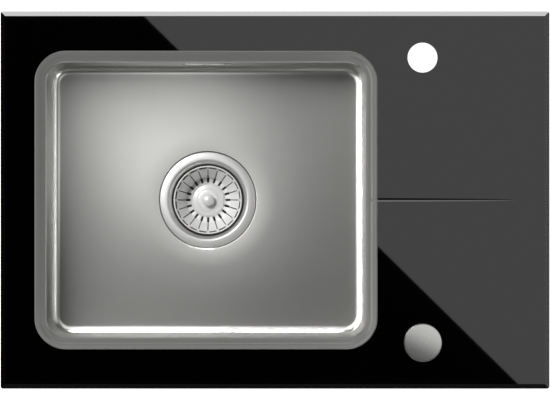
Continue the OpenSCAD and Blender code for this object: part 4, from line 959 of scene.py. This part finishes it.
# %% Lamps
def lamp(name, where, aim, size, radiance, only=None, without=None, up_hint=(0, 1, 0), shape="RECTANGLE",
         spread=180):
    """Flat soft lamp. Its power is radiance * pi * area, so radiance is what a mirror shows. only or without
    limits the pieces that it lights, and spread is the angle, in degrees, that its grid lets through."""
    light = bpy.data.lights.new(name, "AREA")
    light.shape = shape
    light.size, light.size_y = size
    fill = 1.0 if shape == "RECTANGLE" else math.pi / 4
    light.energy = radiance * math.pi * size[0] * size[1] * fill
    light.spread = math.radians(spread)
    obj = bpy.data.objects.new(name, light)
    bpy.context.scene.collection.objects.link(obj)
    back = (Vector(where) - Vector(aim)).normalized()
    side = Vector(up_hint).cross(back).normalized()
    turned_to = Matrix((side, back.cross(side), back)).transposed().to_4x4()
    obj.matrix_world = Matrix.Translation(where) @ turned_to
    obj.visible_camera = False
    if only or without:
        group = bpy.data.collections.new(name + "_reach")
        for thing in only or without:
            group.objects.link(thing)
        obj.light_linking.receiver_collection = group
        if without:
            for entry in group.collection_objects:
                entry.light_linking.link_state = "EXCLUDE"


# %% Who is lit by what
bpy.context.view_layer.update()
STRAINER_NAMES = {"cup_pressed", "basket_pressed", "button_turned", "basket_stem_dressed",
                  "basket_plug_dressed", "clamp_screw_dressed", "lift_pin_dressed"}
STRAINER = [o for o in bpy.context.scene.objects if o.name in STRAINER_NAMES]
SHINY = [glass, knob, rim, pan, *STRAINER]
print("strainer pieces", len(STRAINER))

# %% [markdown]
# ### Glass and knob
# In the photograph a slanting edge parts a black from a grey half of the plate: it is the mirrored edge of
# one large card. The card hangs at a known height, so its edge lies where the mirrored sight lines through
# two points of that slanting edge meet it. Three strips light the facet, and the knob has a card of its own.

# %% Lamps for the glass and the knob
CARD_Z, CARD_DEPTH = 1.0, 1.2
PLATE_TOP = GLASS_TOP * MM
grow = 1 + (CARD_Z - PLATE_TOP) / (CAMERA_HEIGHT - PLATE_TOP)
edge_back = np.array([-0.1522, 0.2139]) * grow
edge_front = np.array([0.2838, -0.2149]) * grow
run = (edge_front - edge_back) / np.linalg.norm(edge_front - edge_back)
away = np.array([-run[1], run[0]])
card_mid = (edge_back + edge_front) / 2 + away * CARD_DEPTH / 2
lamp("card_over_glass", (*card_mid, CARD_Z), (*card_mid, 0), (2.6, CARD_DEPTH), 1.36, only=[glass],
     up_hint=(*away, 0))
knob_way = np.array([math.cos(math.radians(65)), math.sin(math.radians(65))])
knob_mid = np.array(KNOB) * MM * grow + CARD_DEPTH / 2 * knob_way
lamp("card_over_knob", (*knob_mid, CARD_Z), (*knob_mid, 0), (2.0, CARD_DEPTH), 0.86, only=[knob],
     up_hint=(*knob_way, 0))
lamp("knob_overhead", (0.2, -0.2, 0.9), (0.2, -0.2, 0), (1.6, 1.6), 0.06, only=[knob])
lamp("knob_edge", (-0.9, 0.9, 0.22), (0.172, -0.166, 0.02), (1.2, 0.4), 5.0, only=[knob],
     up_hint=(0, 0, 1))
FACET_RISE = math.radians(32.8)
STRIP_AWAY = 1.6
for side, way, radiance in (("back", (0, 1), 4.1), ("right", (1, 0), 0.85), ("front", (0, -1), 0.03)):
    level_away = STRIP_AWAY * math.cos(FACET_RISE)
    spot = (way[0] * level_away, way[1] * level_away, STRIP_AWAY * math.sin(FACET_RISE))
    lamp("strip_" + side, spot, (0, 0, 0), (2.2, 0.5), radiance, only=[glass], up_hint=(0, 0, 1))
print("card edge grows by", round(grow, 3))

# %% [markdown]
# ### Bowl
# Seen from above, a flat floor mirrors only what hangs straight over it, so round blobs over the floor paint
# its soft highlight. They hang at slightly different heights, because Cycles counts only one of several
# lamps that lie in the same plane along a ray. The fillets mirror the whole dome of the room: cards on a
# dome light their upper part, and flat strips just above the floor, which shine level, their lower part.

# %% Lamps for the bowl
TARGET = Vector((-0.08, 0, -0.14))


def ring_lamp(name, bearing, rise, size, radiance, only):
    """Lamp on a dome of radius 1.4 m round the bowl: TARGET + 1.4 (cos e cos a, cos e sin a, sin e)."""
    a, e = math.radians(bearing), math.radians(rise)
    spot = TARGET + 1.4 * Vector((math.cos(e) * math.cos(a), math.cos(e) * math.sin(a), math.sin(e)))
    lamp(name, spot, TARGET, size, radiance, only=only, up_hint=(0, 0, 1))


BLOBS = ((-0.116, 0.04, 0.05, 0.43), (-0.085, 0.004, 0.12, 0.21), (-0.128, 0.075, 0.08, 0.2),
         (-0.128, 0.075, 0.12, 0.17), (-0.16, 0.04, 0.05, 0.2))
for k, (x, y, radius, radiance) in enumerate(BLOBS):
    lamp(f"blob_{k}", (x, y, 0.15 + 0.002 * k), (x, y, 0), (2 * radius, 2 * radius), radiance, only=[pan],
         shape="DISK")
lamp("rim_overhead", (0, 0, 0.5), (0, 0, 0), (1.6, 1.6), 0.21, only=[rim])
lamp("rim_front", (-0.08, -0.1745, 0.15), (-0.08, -0.1745, 0), (0.42, 0.05), 0.14, only=[rim])
lamp("rim_right", (0.118, 0, 0.152), (0.118, 0, 0), (0.05, 0.36), 0.16, only=[rim])
SIDES = {"left": (180, (1.3, 0.36)), "back": (90, (1.3, 0.36)), "corner": (135, (0.9, 0.45)),
         "right": (0, (1.3, 0.42)), "front": (-90, (1.3, 0.42))}
PAN_LAMPS = (("left", 12, 3.5), ("left", 27, 6.9), ("left", 42, 2.5), ("left", 57, 1.0), ("left", 72, 0.55),
             ("back", 27, 0.3), ("back", 42, 2.4), ("back", 72, 0.82), ("corner", 58, 3.8),
             ("right", 30, 0.45), ("front", 30, 0.2), ("right", 48, 0.15), ("right", 66, 0.15))
RIM_LAMPS = (("left", 12, 0.2), ("left", 27, 0.5), ("left", 57, 0.5), ("back", 12, 0.4), ("back", 27, 0.3),
             ("back", 42, 0.3), ("right", 12, 0.6), ("front", 12, 1.2))
for part, rows in ((pan, PAN_LAMPS), (rim, RIM_LAMPS)):
    for side, rise, radiance in rows:
        bearing, size = SIDES[side]
        ring_lamp(f"{part.name}_{side}_{rise}", bearing, rise, size, radiance, [part])

# %% Strips just above the floor
PANEL_Z = -0.1445
reach_x, reach_y = (half_l - 27) * MM, (half_w - 27) * MM
PANELS = (("left", -reach_x, 0, 0.28, 2.2), ("back", 0, reach_y, 0.31, 5.0),
          ("right", reach_x, 0, 0.28, 0.05),
          ("back_left", -reach_x * 0.86, reach_y * 0.84, 0.11, 6.0),
          ("front_right", reach_x * 0.86, -reach_y * 0.84, 0.05, 0.4))
for side, x, y, width, radiance in PANELS:
    lamp("panel_" + side, (BOWL_X * MM + x, y, PANEL_Z), (BOWL_X * MM, 0, PANEL_Z), (width, 0.012), radiance,
         only=[pan], up_hint=(0, 0, 1), spread=5)
print("strips", len(PANELS), "at", round(PANEL_Z / MM - FLOOR_Z, 2), "mm above the floor")

# %% [markdown]
# ### Strainer and the rest
# The basket is a white cup in the photograph, lit from the back left, and its flange is softer. Each has a
# small bright card and a faint wide one overhead. Everything else has plain light from three sides.

# %% Lamps for the strainer
inner = [o for o in STRAINER if o is not cup]
ring_lamp("basket_key", 135, 50, (0.4, 0.4), 42.0, inner)
ring_lamp("flange_key", 135, 56, (0.7, 0.7), 8.0, [cup])
lamp("basket_overhead", (-0.08, 0, 1.6), (-0.08, 0, 0), (2.4, 2.4), 0.02, only=inner)
lamp("flange_overhead", (-0.08, 0, 1.6), (-0.08, 0, 0), (2.4, 2.4), 0.36, only=[cup])
print("pieces under the basket's lamps", len(inner))

# %% Lamps for the rest
lamp("overhead_wide", (0, 0, 1.6), (0, 0, 0), (2.6, 2.6), 0.8, without=SHINY)
lamp("key_left_back", (-1.0, 1.0, 0.8), (0, 0, -0.1), (1.2, 1.0), 3.0, without=SHINY, up_hint=(0, 0, 1))
lamp("fill_front_right", (1.4, -1.2, 0.5), (0, 0, -0.1), (1.2, 1.0), 1.5, without=SHINY, up_hint=(0, 0, 1))

# %% [markdown]
# ## The end

# %% Finish
bpy.context.view_layer.update()
